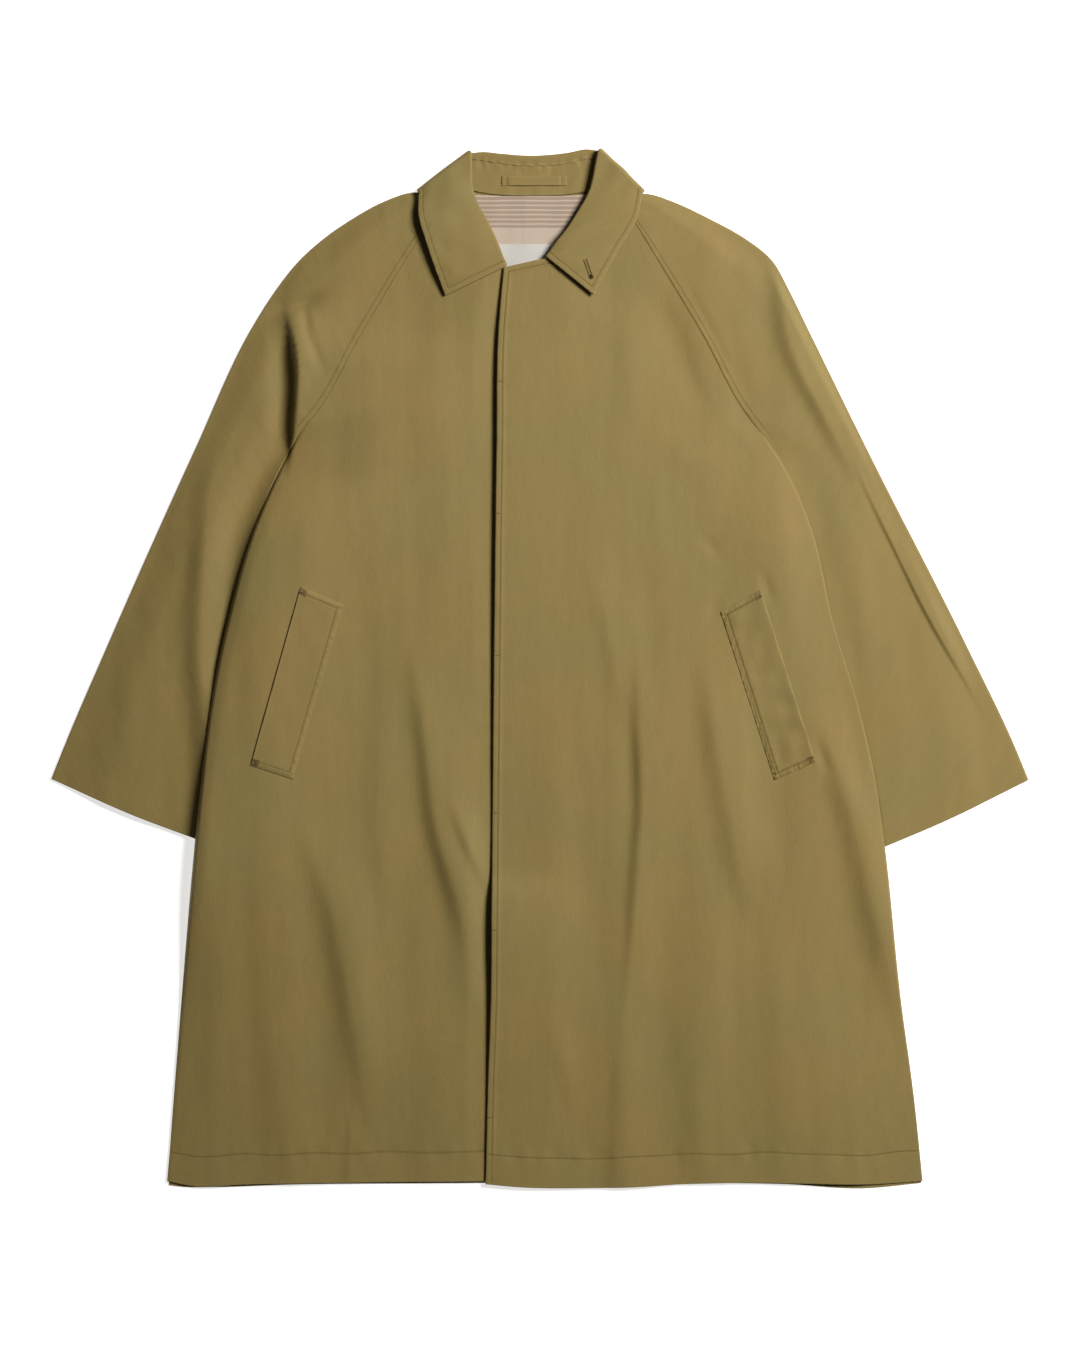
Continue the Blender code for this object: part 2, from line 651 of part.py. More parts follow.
def build_label():
    plan = strip_plan(LABEL_TOP, LABEL_WIDTH, LABEL_HEIGHT, 6, 4)
    height = under_base(plan) + LINING_BASE + LINING + SEAM_GAP
    return cloth_wall("label", plan, height, TAPE, LINING)


def build_hanger_loop():
    """Its ends lie on the stand, and it bows up a little between them."""
    plan = strip_plan(LOOP_TOP, LOOP_LENGTH, LOOP_WIDTH, 8, 2)
    stand_top = LEAF / 2 + 2 * ROLL_RADIUS + STAND / 2
    bow = LOOP_BOW * np.cos(np.pi * (plan[..., 0] - LOOP_TOP[0]) / LOOP_LENGTH)
    return cloth_wall("hanger_loop", plan, stand_top + SEAM_GAP + bow, GABARDINE)


# Pockets


def build_welt(name, front, corners):
    """A welt cut from the front's own upper surface by its four sides, and moved out."""
    work = bmesh.new()
    work.from_mesh(front.data)
    bmesh.ops.scale(work, vec=Vector((1 / MM,) * 3), verts=work.verts)
    work.normal_update()
    bmesh.ops.delete(work, geom=[f for f in work.faces if f.normal.z < 0.5], context="FACES")
    middle = np.mean(corners, axis=0)
    for a, b in zip(corners, (*corners[1:], corners[0])):
        across = Vector((b.y - a.y, a.x - b.x, 0.0))
        if across.dot(Vector((middle[0] - a.x, middle[1] - a.y, 0.0))) > 0:
            across.negate()
        bmesh.ops.bisect_plane(work, geom=[*work.verts, *work.edges, *work.faces], dist=1e-4,
                               plane_co=(a.x, a.y, 0.0), plane_no=across, clear_outer=True)
    bmesh.ops.translate(work, vec=(0.0, 0.0, SEAM_GAP), verts=work.verts)
    thicken(work, WELT)
    return make_object(name, work, GABARDINE)


def main():
    for old in list(bpy.data.objects):
        bpy.data.objects.remove(old)
    bpy.context.scene.collection.objects.link(bpy.data.objects.new("coat", None))
    build_back()
    for side, folds in (("right", SLEEVE_RIGHT_FOLDS), ("left", SLEEVE_LEFT_FOLDS)):
        build_sleeve_back(side)
        build_sleeve_front(side, folds)
    build_welt("pocket_welt_right", build_front_right(), WELT_RIGHT)
    build_welt("pocket_welt_left", build_front_left(), WELT_LEFT)
    build_lining()
    build_label()
    build_collar_leaf()
    build_collar_stand()
    build_hanger_loop()


main()
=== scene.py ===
"""Looks of a gabardine raglan coat with a fly front, laid flat on its back.

Every cut piece is a thin closed shell of cloth, worked out on a grid from the lines of its cut and
from the heights of the layers below it. X runs to the viewer's right, Y up to the collar and Z up
from the floor. Left and right are the wearer's. Lengths are millimetres until a mesh is made.
"""

import itertools
import math
from collections import namedtuple

import bpy
import numpy as np
from mathutils import Color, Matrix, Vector


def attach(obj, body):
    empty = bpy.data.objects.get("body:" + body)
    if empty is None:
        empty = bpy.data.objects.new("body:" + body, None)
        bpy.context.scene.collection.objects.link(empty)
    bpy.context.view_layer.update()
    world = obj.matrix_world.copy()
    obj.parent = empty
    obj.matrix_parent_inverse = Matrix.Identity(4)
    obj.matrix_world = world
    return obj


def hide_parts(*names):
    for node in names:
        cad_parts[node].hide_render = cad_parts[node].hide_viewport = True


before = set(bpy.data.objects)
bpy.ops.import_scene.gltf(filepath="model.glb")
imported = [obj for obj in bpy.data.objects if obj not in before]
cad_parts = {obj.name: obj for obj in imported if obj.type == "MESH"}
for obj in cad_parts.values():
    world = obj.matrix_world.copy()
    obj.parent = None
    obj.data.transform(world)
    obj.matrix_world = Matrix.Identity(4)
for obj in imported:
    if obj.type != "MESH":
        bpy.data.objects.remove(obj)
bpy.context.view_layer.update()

bl_info = {
    "name": "Raglan coat",
    "version": (1, 0, 0),
    "blender": (4, 5, 0),
    "location": "3D View > Sidebar > Coat",
    "description": "Cloth, sewing and stage of a gabardine raglan coat laid flat",
    "category": "Object",
}

MM = 0.001
UP = np.array([0.0, 0.0, 1.0])

# Layers, as they lie on each other
CLOTH = 1.2
SEAM_GAP = 0.3
LAYER = CLOTH + SEAM_GAP
LEAF_RISE = 2.3  # the collar leaf under the back, at the neck
NECK_STACK = 5.4  # leaf, stand and seams under the fronts, at the neck
NECK_CENTRE = np.array([-9.6, 512.0])
NECK_HALF = np.array([150.0, 66.0])
UNDER_FADE = (1.0, 2.0)  # fades away from the neck, in half sizes of its ellipse
UPPER_FADE = (1.1, 2.6)
LOFT_FADE = (1.1, 2.4)
SLEEVE_STACK = 3.3  # a sleeve under the body's side
TUCK_RAMP = 60.0  # length over which it goes under
TUCK_REACH = (16.0, 110.0)  # where the body comes down again, inside its side
PRESS_SLOPE = 5.0  # how fast a pressed sleeve may rise beside the body
PRESS_INSET = {"right": 1.5, "left": 0.0}  # how far inside the body's side it starts to
ARMPIT_FADE = (-14.0, 24.0)

# Loft of the upper layer, and the round of a panel's folded side
FRONT_LOFT = 5.0
RAGLAN_LOFT = 2.0
SLEEVE_LOFT = {"right": 4.5, "left": 1.8}
HEM_CALM = 170.0  # height above the hem over which the loft grows
SIDE_ROUND = {"right": 4.5, "left": 2.0}
BACK_ROUND = 5.0
OVERARM_ROUND = 6.0
SLEEVE_BACK_ROUND = 4.0
SideRoll = namedtuple("SideRoll", "height place outer inner")
SIDE_ROLL = {"right": SideRoll(14.0, 16.0, 30.0, 110.0), "left": SideRoll(0.4, 8.0, 12.0, 60.0)}
ROLL_FOOT = (-380.0, -180.0)  # levels between which the roll grows and fades
ROLL_TOP = (130.0, 260.0)

# Body: one row for each level, with the raglan seams above the armpits and the sides below
Level = namedtuple("Level", "y right left")
ARMPIT_Y = 243.6
BODY_LEVELS = (
    Level(485.5, -104.0, 89.0),
    Level(438.0, -135.5, 118.0),
    Level(352.0, -187.0, 170.0),
    Level(269.0, -233.0, 215.5),
    Level(ARMPIT_Y, -254.0, 235.0),
    Level(218.0, -268.0, 252.5),
    Level(150.0, -298.5, 283.5),
    Level(50.0, -327.5, 307.0),
    Level(-40.0, -345.5, 334.0),
    Level(-120.0, -355.0, 352.0),
    Level(-185.0, -361.5, 361.0),
    Level(-345.0, -375.5, 378.0),
    Level(-450.0, -384.0, 392.5),
    Level(-537.5, -391.0, 401.6),
)
NECK_LEVEL = BODY_LEVELS[0]
ARMPIT_LEVEL = BODY_LEVELS[4]
HEM_LEVEL = BODY_LEVELS[-1]
OUTWARD = {"right": -1.0, "left": 1.0}

# Edge of the overlapping left front, from the neck to the hem, and how far it stands off
FLY_OVERLAP = 46.0
FLY_FADE = 60.0
FLY_STEP = LAYER + 0.6
LIFT_REACH = (3.0, 110.0)
FrontEdge = namedtuple("FrontEdge", "y x lift")
FRONT_EDGE = (
    FrontEdge(420.6, -38.2, 1.0),
    FrontEdge(356.0, -43.6, 4.2),
    FrontEdge(230.0, -45.7, 5.0),
    FrontEdge(72.0, -47.8, 4.0),
    FrontEdge(-85.0, -49.4, 2.0),
    FrontEdge(-194.0, -50.4, 1.4),
    FrontEdge(-213.0, -50.5, 2.2),
    FrontEdge(-238.0, -50.7, 7.6),
    FrontEdge(-262.0, -50.9, 8.8),
    FrontEdge(-337.0, -51.5, 6.0),
    FrontEdge(-431.0, -54.6, 2.0),
    FrontEdge(-540.2, -57.2, 1.2),
)

# Sleeves: a row for each section from the neck to the cuff
SleeveLevel = namedtuple("SleeveLevel", "right_x right_y left_x left_y")
OVERARM = (
    SleeveLevel(-93.0, 509.0, 76.0, 509.0),
    SleeveLevel(-122.0, 500.0, 103.5, 499.0),
    SleeveLevel(-136.5, 499.5, 116.5, 497.8),
    SleeveLevel(-158.6, 492.3, 133.5, 492.3),
    SleeveLevel(-198.5, 471.0, 179.0, 471.5),
    SleeveLevel(-228.0, 450.5, 217.0, 450.5),
    SleeveLevel(-251.5, 429.5, 243.0, 429.5),
    SleeveLevel(-276.0, 399.0, 260.5, 399.0),
    SleeveLevel(-300.3, 361.2, 279.0, 361.2),
    SleeveLevel(-362.0, 230.0, 343.4, 230.0),
    SleeveLevel(-455.7, 20.0, 449.8, 20.0),
    SleeveLevel(-500.6, -85.0, 499.8, -85.0),
    SleeveLevel(-512.6, -115.5, 512.6, -116.6),
)
UNDERARM = (
    SleeveLevel(-306.0, 100.0, 284.0, 110.0),
    SleeveLevel(-325.0, 0.0, 305.0, 0.0),
    SleeveLevel(-333.0, -100.0, 327.0, -120.0),
    SleeveLevel(-337.1, -187.0, 338.1, -196.3),
)
CUFF_BOW = 3.0
SLEEVE_GRAIN = {"right": -0.40, "left": 0.44}

# Necklines and hems: the fronts' from the centre outwards, the back's from right to left
Point = namedtuple("Point", "x y")
NECK = {
    "right": (Point(7.0, 424.0), Point(-40.0, 420.0), Point(-66.0, 428.0), Point(-89.0, 453.0)),
    "left": (Point(-38.2, 420.6), Point(6.8, 430.5), Point(44.0, 437.0), Point(70.4, 459.0)),
}
NECK_BACK = (Point(-88.0, 503.0), Point(-52.0, 496.6), Point(-9.6, 495.0), Point(33.0, 496.6),
             Point(69.0, 503.0))
NECK_LINING = (Point(-76.0, 498.5), Point(-52.0, 496.6), Point(-9.6, 496.0), Point(33.0, 496.6),
               Point(57.0, 498.5))
HEM = {
    "right": (Point(-9.5, -537.5), Point(-58.0, -537.6), Point(-224.0, -539.4),
              Point(-308.0, -540.8), Point(-366.0, -542.3)),
    "left": (Point(-57.2, -540.2), Point(-22.0, -543.4), Point(48.0, -544.6), Point(103.0, -543.4),
             Point(150.0, -540.6), Point(200.0, -539.4), Point(273.0, -539.7), Point(352.0, -540.6)),
}
HEM_BACK = (Point(-389.5, -539.0), Point(-374.0, -540.8), Point(-345.0, -541.0),
            Point(-265.0, -538.4), Point(-120.0, -537.0), Point(150.0, -536.5),
            Point(255.0, -537.8), Point(343.0, -542.0), Point(400.0, -536.5))
BACK_HEM_DROP = 3.0

# Collar: a row for each station from the right front end round the back to the left front end.
# Each gives the rolled edge, the fall (the leaf's outer edge), the neck seam and the heights of
# the leaf's middle at roll and fall. The rows on the floor side are marked under.
Station = namedtuple("Station", "under roll_x roll_y fall_x fall_y neck_x neck_y roll_z fall_z")
COLLAR = (
    Station(False, -36.4, 421.4, -99.5, 390.8, -41.0, 418.5, 12.4, 10.4),
    Station(False, -55.3, 466.0, -119.0, 446.0, -82.0, 448.0, 13.4, 16.6),
    Station(False, -71.0, 497.0, -127.0, 475.0, -100.0, 480.0, 14.0, 17.4),
    Station(False, -73.5, 539.6, -126.8, 498.6, -92.0, 509.0, 13.4, 13.0),
    Station(True, -73.5, 539.6, -126.8, 498.6, -92.0, 509.0, 1.0, 1.0),
    Station(True, -62.0, 540.6, -103.0, 489.0, -72.0, 501.0, 1.0, 1.0),
    Station(True, -42.0, 538.7, -68.0, 478.0, -50.0, 497.0, 1.0, 1.0),
    Station(True, -12.0, 536.4, -9.6, 468.0, -9.6, 495.4, 1.0, 1.0),
    Station(True, 30.0, 539.6, 51.0, 478.0, 31.0, 497.0, 1.0, 1.0),
    Station(True, 50.0, 543.3, 84.0, 489.0, 53.0, 501.0, 1.0, 1.0),
    Station(True, 62.5, 542.0, 107.4, 498.6, 74.0, 509.0, 1.0, 1.0),
    Station(False, 62.5, 542.0, 107.4, 498.6, 74.0, 509.0, 13.6, 12.0),
    Station(False, 53.0, 500.0, 102.5, 474.0, 84.0, 480.0, 14.4, 11.6),
    Station(False, 31.4, 463.0, 81.0, 436.0, 62.0, 455.0, 14.9, 12.0),
    Station(False, 7.4, 430.4, 56.2, 391.2, 14.0, 437.0, 14.8, 13.6),
)
COLLAR_PARTS = ("roll", "fall", "neck")
BACK_STATION = COLLAR[7]
LEAF = 1.8
STAND = 1.4
ROLL_RADIUS = 1.5
TURN_REACH = 3.3
LEAF_CROWN = 1.4
LIP = 9.0
LIP_WALL = 0.8
LIP_SHARES = (0.1, 0.25, 0.4, 0.55, 0.7, 0.82, 0.91, 0.97, 0.99, 1.0)
STAND_DROP = 1.2
STAND_GAP = 0.2  # between the stand's foot and the panel sewn to it
STAND_OVERLAP = 0.65  # share of the lip that covers the stand
STAND_REACH = 0.97  # share of the way to the neck seam
STAND_CUT = 12  # stations by which each end is shorter than the leaf

# Neck furnishings
LINING_FOOT = (-64.0, 45.0, 408.0)
LINING_WALL = 0.8
LINING_RISE = 0.6
LINING_PLEATS = (-18.0, 35.0)
STRIPE_FOOT = 463.6
STRIPE_PERIOD = 4.9
STRIPE_SWAY = 1.6
LABEL_SIZE = (62.0, 28.0)
LABEL_TOP = (-14.0, 445.5)
LABEL_WALL = 0.7
LABEL_RISE = 2.0
LOOP_SIZE = (68.0, 10.0)
LOOP_TOP = (-6.0, 517.0)
LOOP_WALL = 1.3
LOOP_RISE = 0.5
LOOP_FREE = (0.74, 0.92)
LOOP_TACK = 0.84

# Slanted welts, the corners from the top of the opening edge round to its foot
WELT = {
    "right": (Point(-249.9, 86.1), Point(-205.3, 67.2), Point(-258.3, -115.5), Point(-302.4, -100.8)),
    "left": (Point(231.0, 83.0), Point(189.0, 59.9), Point(245.7, -116.6), Point(288.8, -97.7)),
}
WELT_WALL = 1.6
WELT_GAP = 0.1
WELT_PRESS = 0.9
WELT_LIFT = {"right": 0.35, "left": 0.8}
WELT_PULL = {"right": 0.22, "left": 0.6}

# Sewing: shade painted in grooves and raglan seams, how much of its pitch a stitch fills, the
# levels of the fly's bar tacks, and the buttonhole in the left end of the leaf, its top and the
# middle of its eye
GROOVE_WIDTH = 0.8
RAGLAN_SHADE = {"right": 0.2, "left": 0.7}
STITCH_FILL = 0.82
HEM_FOLD = 0.5  # what a turned hem or cuff adds to the wall
BAR_TACKS = (300.0, 165.0, 12.0, -149.0, -271.0, -468.0)
BUTTONHOLE = (Point(47.2, 428.4), Point(53.5, 410.5))
HOLE_PITCH = 0.7
HOLE_THREAD = (0.8, 2.2)
EYE_THREAD = (1.3, 3.1)
EYE_ANGLES = range(-125, 126, 22)

# Folds run down the coat: a crest of three points, how fast it falls away on the picture's left
# and right, and its height (troughs below zero). A hollow fold climbs to its crest from the left in
# a hollow slope and breaks there. A fold is fully grown after this share of its length.
FOLD_GROWN = 0.38
Fold = namedtuple("Fold", "x0 y0 x1 y1 x2 y2 left right height hollow", defaults=(False,))
ARMPIT_FOLDS = (
    Fold(-270, 393, -254, 305, -264, 196, 20, 130, 3.5, hollow=True),
    Fold(-270, 393, -254, 305, -264, 196, 2.2, 130, 10.0),
    Fold(-251, 424, -236, 335, -244, 250, 10, 17, -0.8),
    Fold(112, 415, 150, 330, 174, 245, 20, 13, -1.8),
)
SLEEVE_FOLDS = {
    "right": (
        Fold(-280, 393, -270, 330, -270, 200, 14, 9, -4.5),
        Fold(-300, 390, -294, 310, -300, 240, 24, 22, 1.2),
        Fold(-336, 265, -351, 110, -350, -150, 16, 32, 9.0),
        Fold(-236, 280, -296, 145, -331, 10, 26, 12, 9.5, hollow=True),
        Fold(-338, 10, -347, -100, -354, -250, 28, 12, 9.5, hollow=True),
        Fold(-340, 200, -358, 40, -372, -190, 58, 30, 1.4),
        Fold(-404, 120, -420, 0, -440, -150, 22, 28, 1.6),
    ),
    "left": (
        Fold(328, 235, 361, 150, 474, -62, 3.0, 34, 2.4),
        Fold(206, 420, 214, 350, 232, 270, 12, 18, 1.2),
        Fold(246, 480, 271, 325, 354, 175, 12, 80, 4.6),
        Fold(300, 200, 330, 90, 356, -60, 18, 26, 1.0),
    ),
}
FRONT_FOLDS = {
    "right": (
        Fold(-132, 40, -108, -150, -62, -330, 12, 34, 6.0),
        Fold(-96, -120, -66, -200, -18, -290, 7, 18, 3.0),
        Fold(-92, -150, -80, -265, -56, -400, 15, 22, 2.4),
        Fold(-256, -130, -205, -300, -174, -500, 15, 36, 4.4),
        Fold(-170, 0, -166, -140, -160, -270, 15, 26, 1.8),
        Fold(-172, 330, -176, 150, -190, -60, 26, 34, 1.2),
        Fold(-110, 330, -96, 180, -88, 40, 18, 30, 1.0),
        Fold(-199, -455, -200, -500, -203, -560, 4, 11, 1.0),
        Fold(-318, -200, -332, -330, -340, -500, 18, 30, 1.6),
        Fold(-286, -330, -270, -430, -262, -560, 18, 26, 1.2),
    ),
    "left": (
        Fold(102, 60, 107, -140, 86, -400, 8, 42, 5.0),
        Fold(88, -340, 83, -450, 80, -620, 9, 20, 1.6),
        Fold(64, 110, 76, 20, 92, -70, 13, 26, 1.8),
        Fold(174, 40, 190, -105, 230, -290, 15, 34, 4.2),
        Fold(292, -20, 338, -195, 386, -395, 16, 24, 6.0),
        Fold(220, 330, 240, 180, 257, 10, 38, 26, 3.4),
        Fold(76, 360, 92, 220, 96, 60, 24, 34, 1.2),
        Fold(-14, -320, 20, -400, 48, -500, 10, 18, 1.0),
        Fold(246, -240, 256, -380, 266, -580, 26, 36, 1.6),
        Fold(160, -300, 164, -420, 170, -570, 20, 28, 1.0),
    ),
}

# Small dents: the middle, the turn from the picture's right in degrees, half sizes and height
Dent = namedtuple("Dent", "x y turn length width height")
DENTS = (
    Dent(-261, 381, 10, 24, 6, -3.0),
    Dent(-243, 388, 36, 17, 9, -2.6),
    Dent(-247, 364, -80, 16, 5, -2.0),
    Dent(-238, 334, -64, 20, 5, -1.9),
    Dent(-212, 392, 80, 44, 30, 1.6),
    Dent(166, 456, -9, 58, 14, -0.8),
    Dent(113, 485, -8, 14, 5, -2.0),
    Dent(178, 358, -62, 44, 5, -0.7),
    Dent(178, 130, -40, 12, 6, -1.0),
    Dent(238, 86, -70, 16, 6, -1.4),
    Dent(296, -92, -70, 16, 6, -1.4),
    Dent(184, 62, 60, 12, 5, -1.4),
    Dent(-70, 350, 60, 60, 30, 0.8),
    Dent(60, 300, 80, 70, 34, 0.9),
)

# Ripples of the cloth: height, length across, length down and the seed of their waves
Ripple = namedtuple("Ripple", "height across down seed")
RIPPLES = {
    "sway_across": Ripple(0.8, 130, 170, 3),
    "sway_down": Ripple(0.8, 160, 160, 4),
    "wide": Ripple(0.65, 95, 420, 5),
    "narrow": Ripple(0.10, 34, 260, 6),
    "fine": Ripple(0.02, 14, 60, 7),
    "hem_line": Ripple(0.9, 90, 4000, 11),
    "hem_pucker": Ripple(0.22, 26, 300, 12),
    "edge_pucker": Ripple(0.18, 300, 24, 13),
    "raglan_pucker": Ripple(0.16, 60, 14, 21),
    "leaf_edge": Ripple(0.22, 9, 60, 31),
    "leaf": Ripple(0.40, 60, 40, 32),
    "lip": Ripple(0.32, 11, 17, 33),
    "stand": Ripple(0.16, 24, 60, 41),
    "stand_top": Ripple(0.30, 10, 16, 42),
    "lining": Ripple(0.15, 30, 50, 51),
    "label": Ripple(0.12, 40, 30, 52),
    "welt_seam": Ripple(1.0, 18, 5, 61),
    "welt_ends": Ripple(0.4, 6, 30, 62),
    "welt": Ripple(0.5, 30, 40, 63),
}
WAVES = 12

# Steps away from an edge: close at its round and at its stitching, and again at a hem's stitching
EDGE_STEPS = (0.0, 0.12, 0.35, 0.7, 1.2, 2.0, 3.0, 4.0, 5.0, 5.6, 6.0, 6.4, 7.0, 8.0, 9.5, 11.5,
              14.0)
HEM_STEPS = (0.0, 0.12, 0.35, 0.7, 1.2, 2.2, 4.0, 8.0, 13.0, 18.0, 23.0, 27.0, 29.2, 30.4, 31.0,
             31.5, 32.0, 32.6, 33.8, 36.0, 39.0)
PLAIN_STEPS = (0.0, 0.12, 0.35, 0.7, 1.2, 2.0)
GRID = {  # columns and rows of each piece between its edge steps
    "back": (80, 90),
    "front": (146, 172),
    "sleeve_back": (40, 60),
    "sleeve_front": (122, 168),
    "hanger_loop": (60, 10),
    "lining": (70, 50),
    "label": (40, 20),
    "welt": (16, 70),
}
PLAIN_EDGES = {"sides": (PLAIN_STEPS, PLAIN_STEPS), "ends": (PLAIN_STEPS, PLAIN_STEPS)}
EDGE_INSET = 6.0
HEM_INSET = 31.5
EDGE_ROW = EDGE_STEPS.index(EDGE_INSET)
HEM_ROW = HEM_STEPS.index(HEM_INSET)

# Weave: pitch of the twill's ribs and their lean in degrees
TWILL_PITCH = 0.8
TWILL_LEAN = 27.0
SHEEN_TINT = (0.9, 0.85, 0.7, 1.0)

# Stage: floor and picture's middle in millimetres, lamp in metres and degrees
FLOOR_HALF = 9000.0
FLOOR_DROP = 0.5
VIEW_MIDDLE = -6.3
LAMP_PLACE = (1.88, 1.16, 2.30)
LAMP_AIM = (0.1, 0.1, 0.0)
LAMP_SIZE = 1.3
LAMP_SPREAD = 140.0
LAMP_TINT = (1.0, 0.97, 0.92)
SKY_TINT = (1.0, 0.93, 0.82, 1.0)

# Lines to be stitched, kept as the cloth is made
seams = {"edge": [], "hem": [], "tack": [], "buttonhole": [], "slit": [], "eye": []}


# Curves and grids in plan


def curve(points, count=600):
    """A dense smooth line through the points: cubic pieces whose slopes follow their neighbours."""
    p = np.array(points, float)
    chord = np.r_[0.0, np.cumsum(np.linalg.norm(np.diff(p, axis=0), axis=1))]
    if len(p) == 2:
        return p[0] + np.linspace(0, 1, count)[:, None] * (p[1] - p[0])
    slope = np.gradient(p, chord, axis=0)
    t = np.linspace(0, chord[-1], count)
    i = np.clip(np.searchsorted(chord, t, side="right") - 1, 0, len(p) - 2)
    span = (chord[i + 1] - chord[i])[:, None]
    s = (t - chord[i])[:, None] / span
    return (p[i] * (1 + 2 * s) * (1 - s) ** 2 + p[i + 1] * s**2 * (3 - 2 * s)
            + span * slope[i] * s * (1 - s) ** 2 + span * slope[i + 1] * s**2 * (s - 1))


def length_of(line):
    """Length of a dense line."""
    return np.linalg.norm(np.diff(line, axis=0), axis=1).sum()


def walk(line, share):
    """Points at these shares of a dense line's length."""
    along = np.r_[0.0, np.cumsum(np.linalg.norm(np.diff(line, axis=0), axis=1))]
    at = np.asarray(share) * along[-1]
    return np.stack([np.interp(at, along, line[:, k]) for k in range(line.shape[1])], axis=-1)


def spread(widths, inner, start, end):
    """Shares across rows of these widths: fixed small steps at both ends and even ones between."""
    room = np.asarray(widths, float)[:, None]
    fit = np.minimum(1.0, 0.4 * room / max(start[-1], end[-1]))
    near, far = fit * np.array(start), fit * np.array(end)
    between = near[:, -1:] + (room - near[:, -1:] - far[:, -1:]) * np.linspace(0, 1, inner)
    return np.concatenate([near[:, :-1], between, (room - far[:, :-1])[:, ::-1]], axis=1) / room


def patch(top, bottom, start, end, across, down):
    """Plan points filling four edge lines: both ways across are added and the corners taken off."""
    u, v = across[..., None], down[..., None]
    corners = ((1 - u) * (1 - v) * top[0] + u * (1 - v) * top[-1]
               + (1 - u) * v * bottom[0] + u * v * bottom[-1])
    return (walk(start, down) * (1 - u) + walk(end, down) * u
            + walk(top, across) * (1 - v) + walk(bottom, across) * v - corners)


def cloth_plan(top, bottom, start, end, columns, rows, sides=(EDGE_STEPS, EDGE_STEPS),
               ends=(EDGE_STEPS, HEM_STEPS)):
    """A patch whose points keep fixed distances from its four edges, close at rounds and stitches."""
    count = len(sides[0]) + len(sides[1]) + columns - 2
    lengths = np.linspace(length_of(start), length_of(end), count)
    down = spread(lengths, rows, *ends).T
    level = down.mean(axis=1)
    widths = np.linalg.norm(walk(end, level) - walk(start, level), axis=1)
    return patch(top, bottom, start, end, spread(widths, columns, *sides), down)


def ease(x, low, high):
    """0 below low, 1 above high and a smooth rise between them."""
    s = np.clip((np.asarray(x, float) - low) / (high - low), 0, 1)
    return s * s * (3 - 2 * s)


def rim(distance, reach):
    """A quarter of an ellipse: 0 and upright at an edge, 1 and level from reach on."""
    return np.sqrt(1 - (1 - np.clip(distance / reach, 0, 1)) ** 2)


def bell(x):
    """1 at zero, falling away on both sides."""
    return np.exp(-(x**2))


def ripple(plan, name):
    """A calm random surface: a sum of plane waves of seeded length, lean and phase."""
    row = RIPPLES[name]
    draw = np.random.default_rng(row.seed)
    angle, phase = draw.uniform(0, 2 * np.pi, (2, WAVES))
    size = draw.uniform(0.7, 1.5, WAVES)
    turns = (plan[..., 0, None] * np.cos(angle) * size / row.across
             + plan[..., 1, None] * np.sin(angle) * size / row.down)
    waves = np.sin(2 * np.pi * turns + phase).sum(axis=-1) * math.sqrt(2 / WAVES)
    return row.height * waves


def away(plan, line, pieces=120):
    """Distance of each point from the nearest place on a line, taken as short straight pieces."""
    corner = walk(line, np.linspace(0, 1, pieces + 1))
    step = np.diff(corner, axis=0)
    reach = plan[..., None, :] - corner[:-1]
    share = np.clip((reach * step).sum(axis=-1) / (step**2).sum(axis=-1), 0, 1)
    return np.linalg.norm(reach - share[..., None] * step, axis=-1).min(axis=-1)


# Lines of the cut


def body_edge(side):
    """The raglan seam and side of the body as one line, from the neck to the hem."""
    return curve([(getattr(level, side), level.y) for level in BODY_LEVELS])


def raglan(side):
    """The raglan seam of the front, from the neck to the armpit."""
    edge = body_edge(side)
    return edge[edge[:, 1] > ARMPIT_Y]


def back_seam(side):
    """The straight raglan seam of the back, from the neck to the armpit."""
    corner = NECK_BACK[0] if side == "right" else NECK_BACK[-1]
    return curve([corner, (getattr(ARMPIT_LEVEL, side), ARMPIT_Y)])


def sleeve_line(side, rows, before=()):
    """A sleeve's long edge through the rows of its table, after any points before them."""
    points = [(getattr(row, side + "_x"), getattr(row, side + "_y")) for row in rows]
    return curve([*before, *points])


def underarm(side):
    """The underarm: beside the body just below the armpit, then running under it."""
    edge = body_edge(side)
    beside = edge[(edge[:, 1] < ARMPIT_Y) & (edge[:, 1] > ARMPIT_Y - TUCK_RAMP)][::9]
    return sleeve_line(side, UNDERARM, before=beside)


def inside_body(plan, side):
    """How far each point lies inside the body's side line, on its own level."""
    edge = body_edge(side)[::-1]
    lean = np.gradient(edge[:, 0], edge[:, 1])
    y = plan[..., 1]
    upright = 1 / np.sqrt(1 + np.interp(y, edge[:, 1], lean) ** 2)
    return -OUTWARD[side] * (plan[..., 0] - np.interp(y, edge[:, 1], edge[:, 0])) * upright


def inside_both(plan):
    """How far each point lies inside the nearer of the body's two side lines."""
    return np.minimum(inside_body(plan, "right"), inside_body(plan, "left"))


def from_front_edge(plan):
    """How far each point lies to the left of the left front's edge, and that edge's lift there."""
    y, x, lift = np.array(FRONT_EDGE[::-1]).T
    smooth = curve(np.stack([y, x, lift], axis=1))
    at = plan[..., 1]
    return (plan[..., 0] - np.interp(at, smooth[:, 0], smooth[:, 1]),
            np.interp(at, smooth[:, 0], smooth[:, 2]))


# Heights of the layers


def neck_distance(plan):
    """1 on the neck's ellipse, growing outwards."""
    return np.linalg.norm((plan - NECK_CENTRE) / NECK_HALF, axis=-1)


def under_base(plan):
    """Underside of the lower layer: on the floor, but over the collar leaf at the neck."""
    return LEAF_RISE * (1 - ease(neck_distance(plan), *UNDER_FADE))


def upper_base(plan):
    """Underside of the upper layer before any loft."""
    return LAYER + NECK_STACK * (1 - ease(neck_distance(plan), *UPPER_FADE))


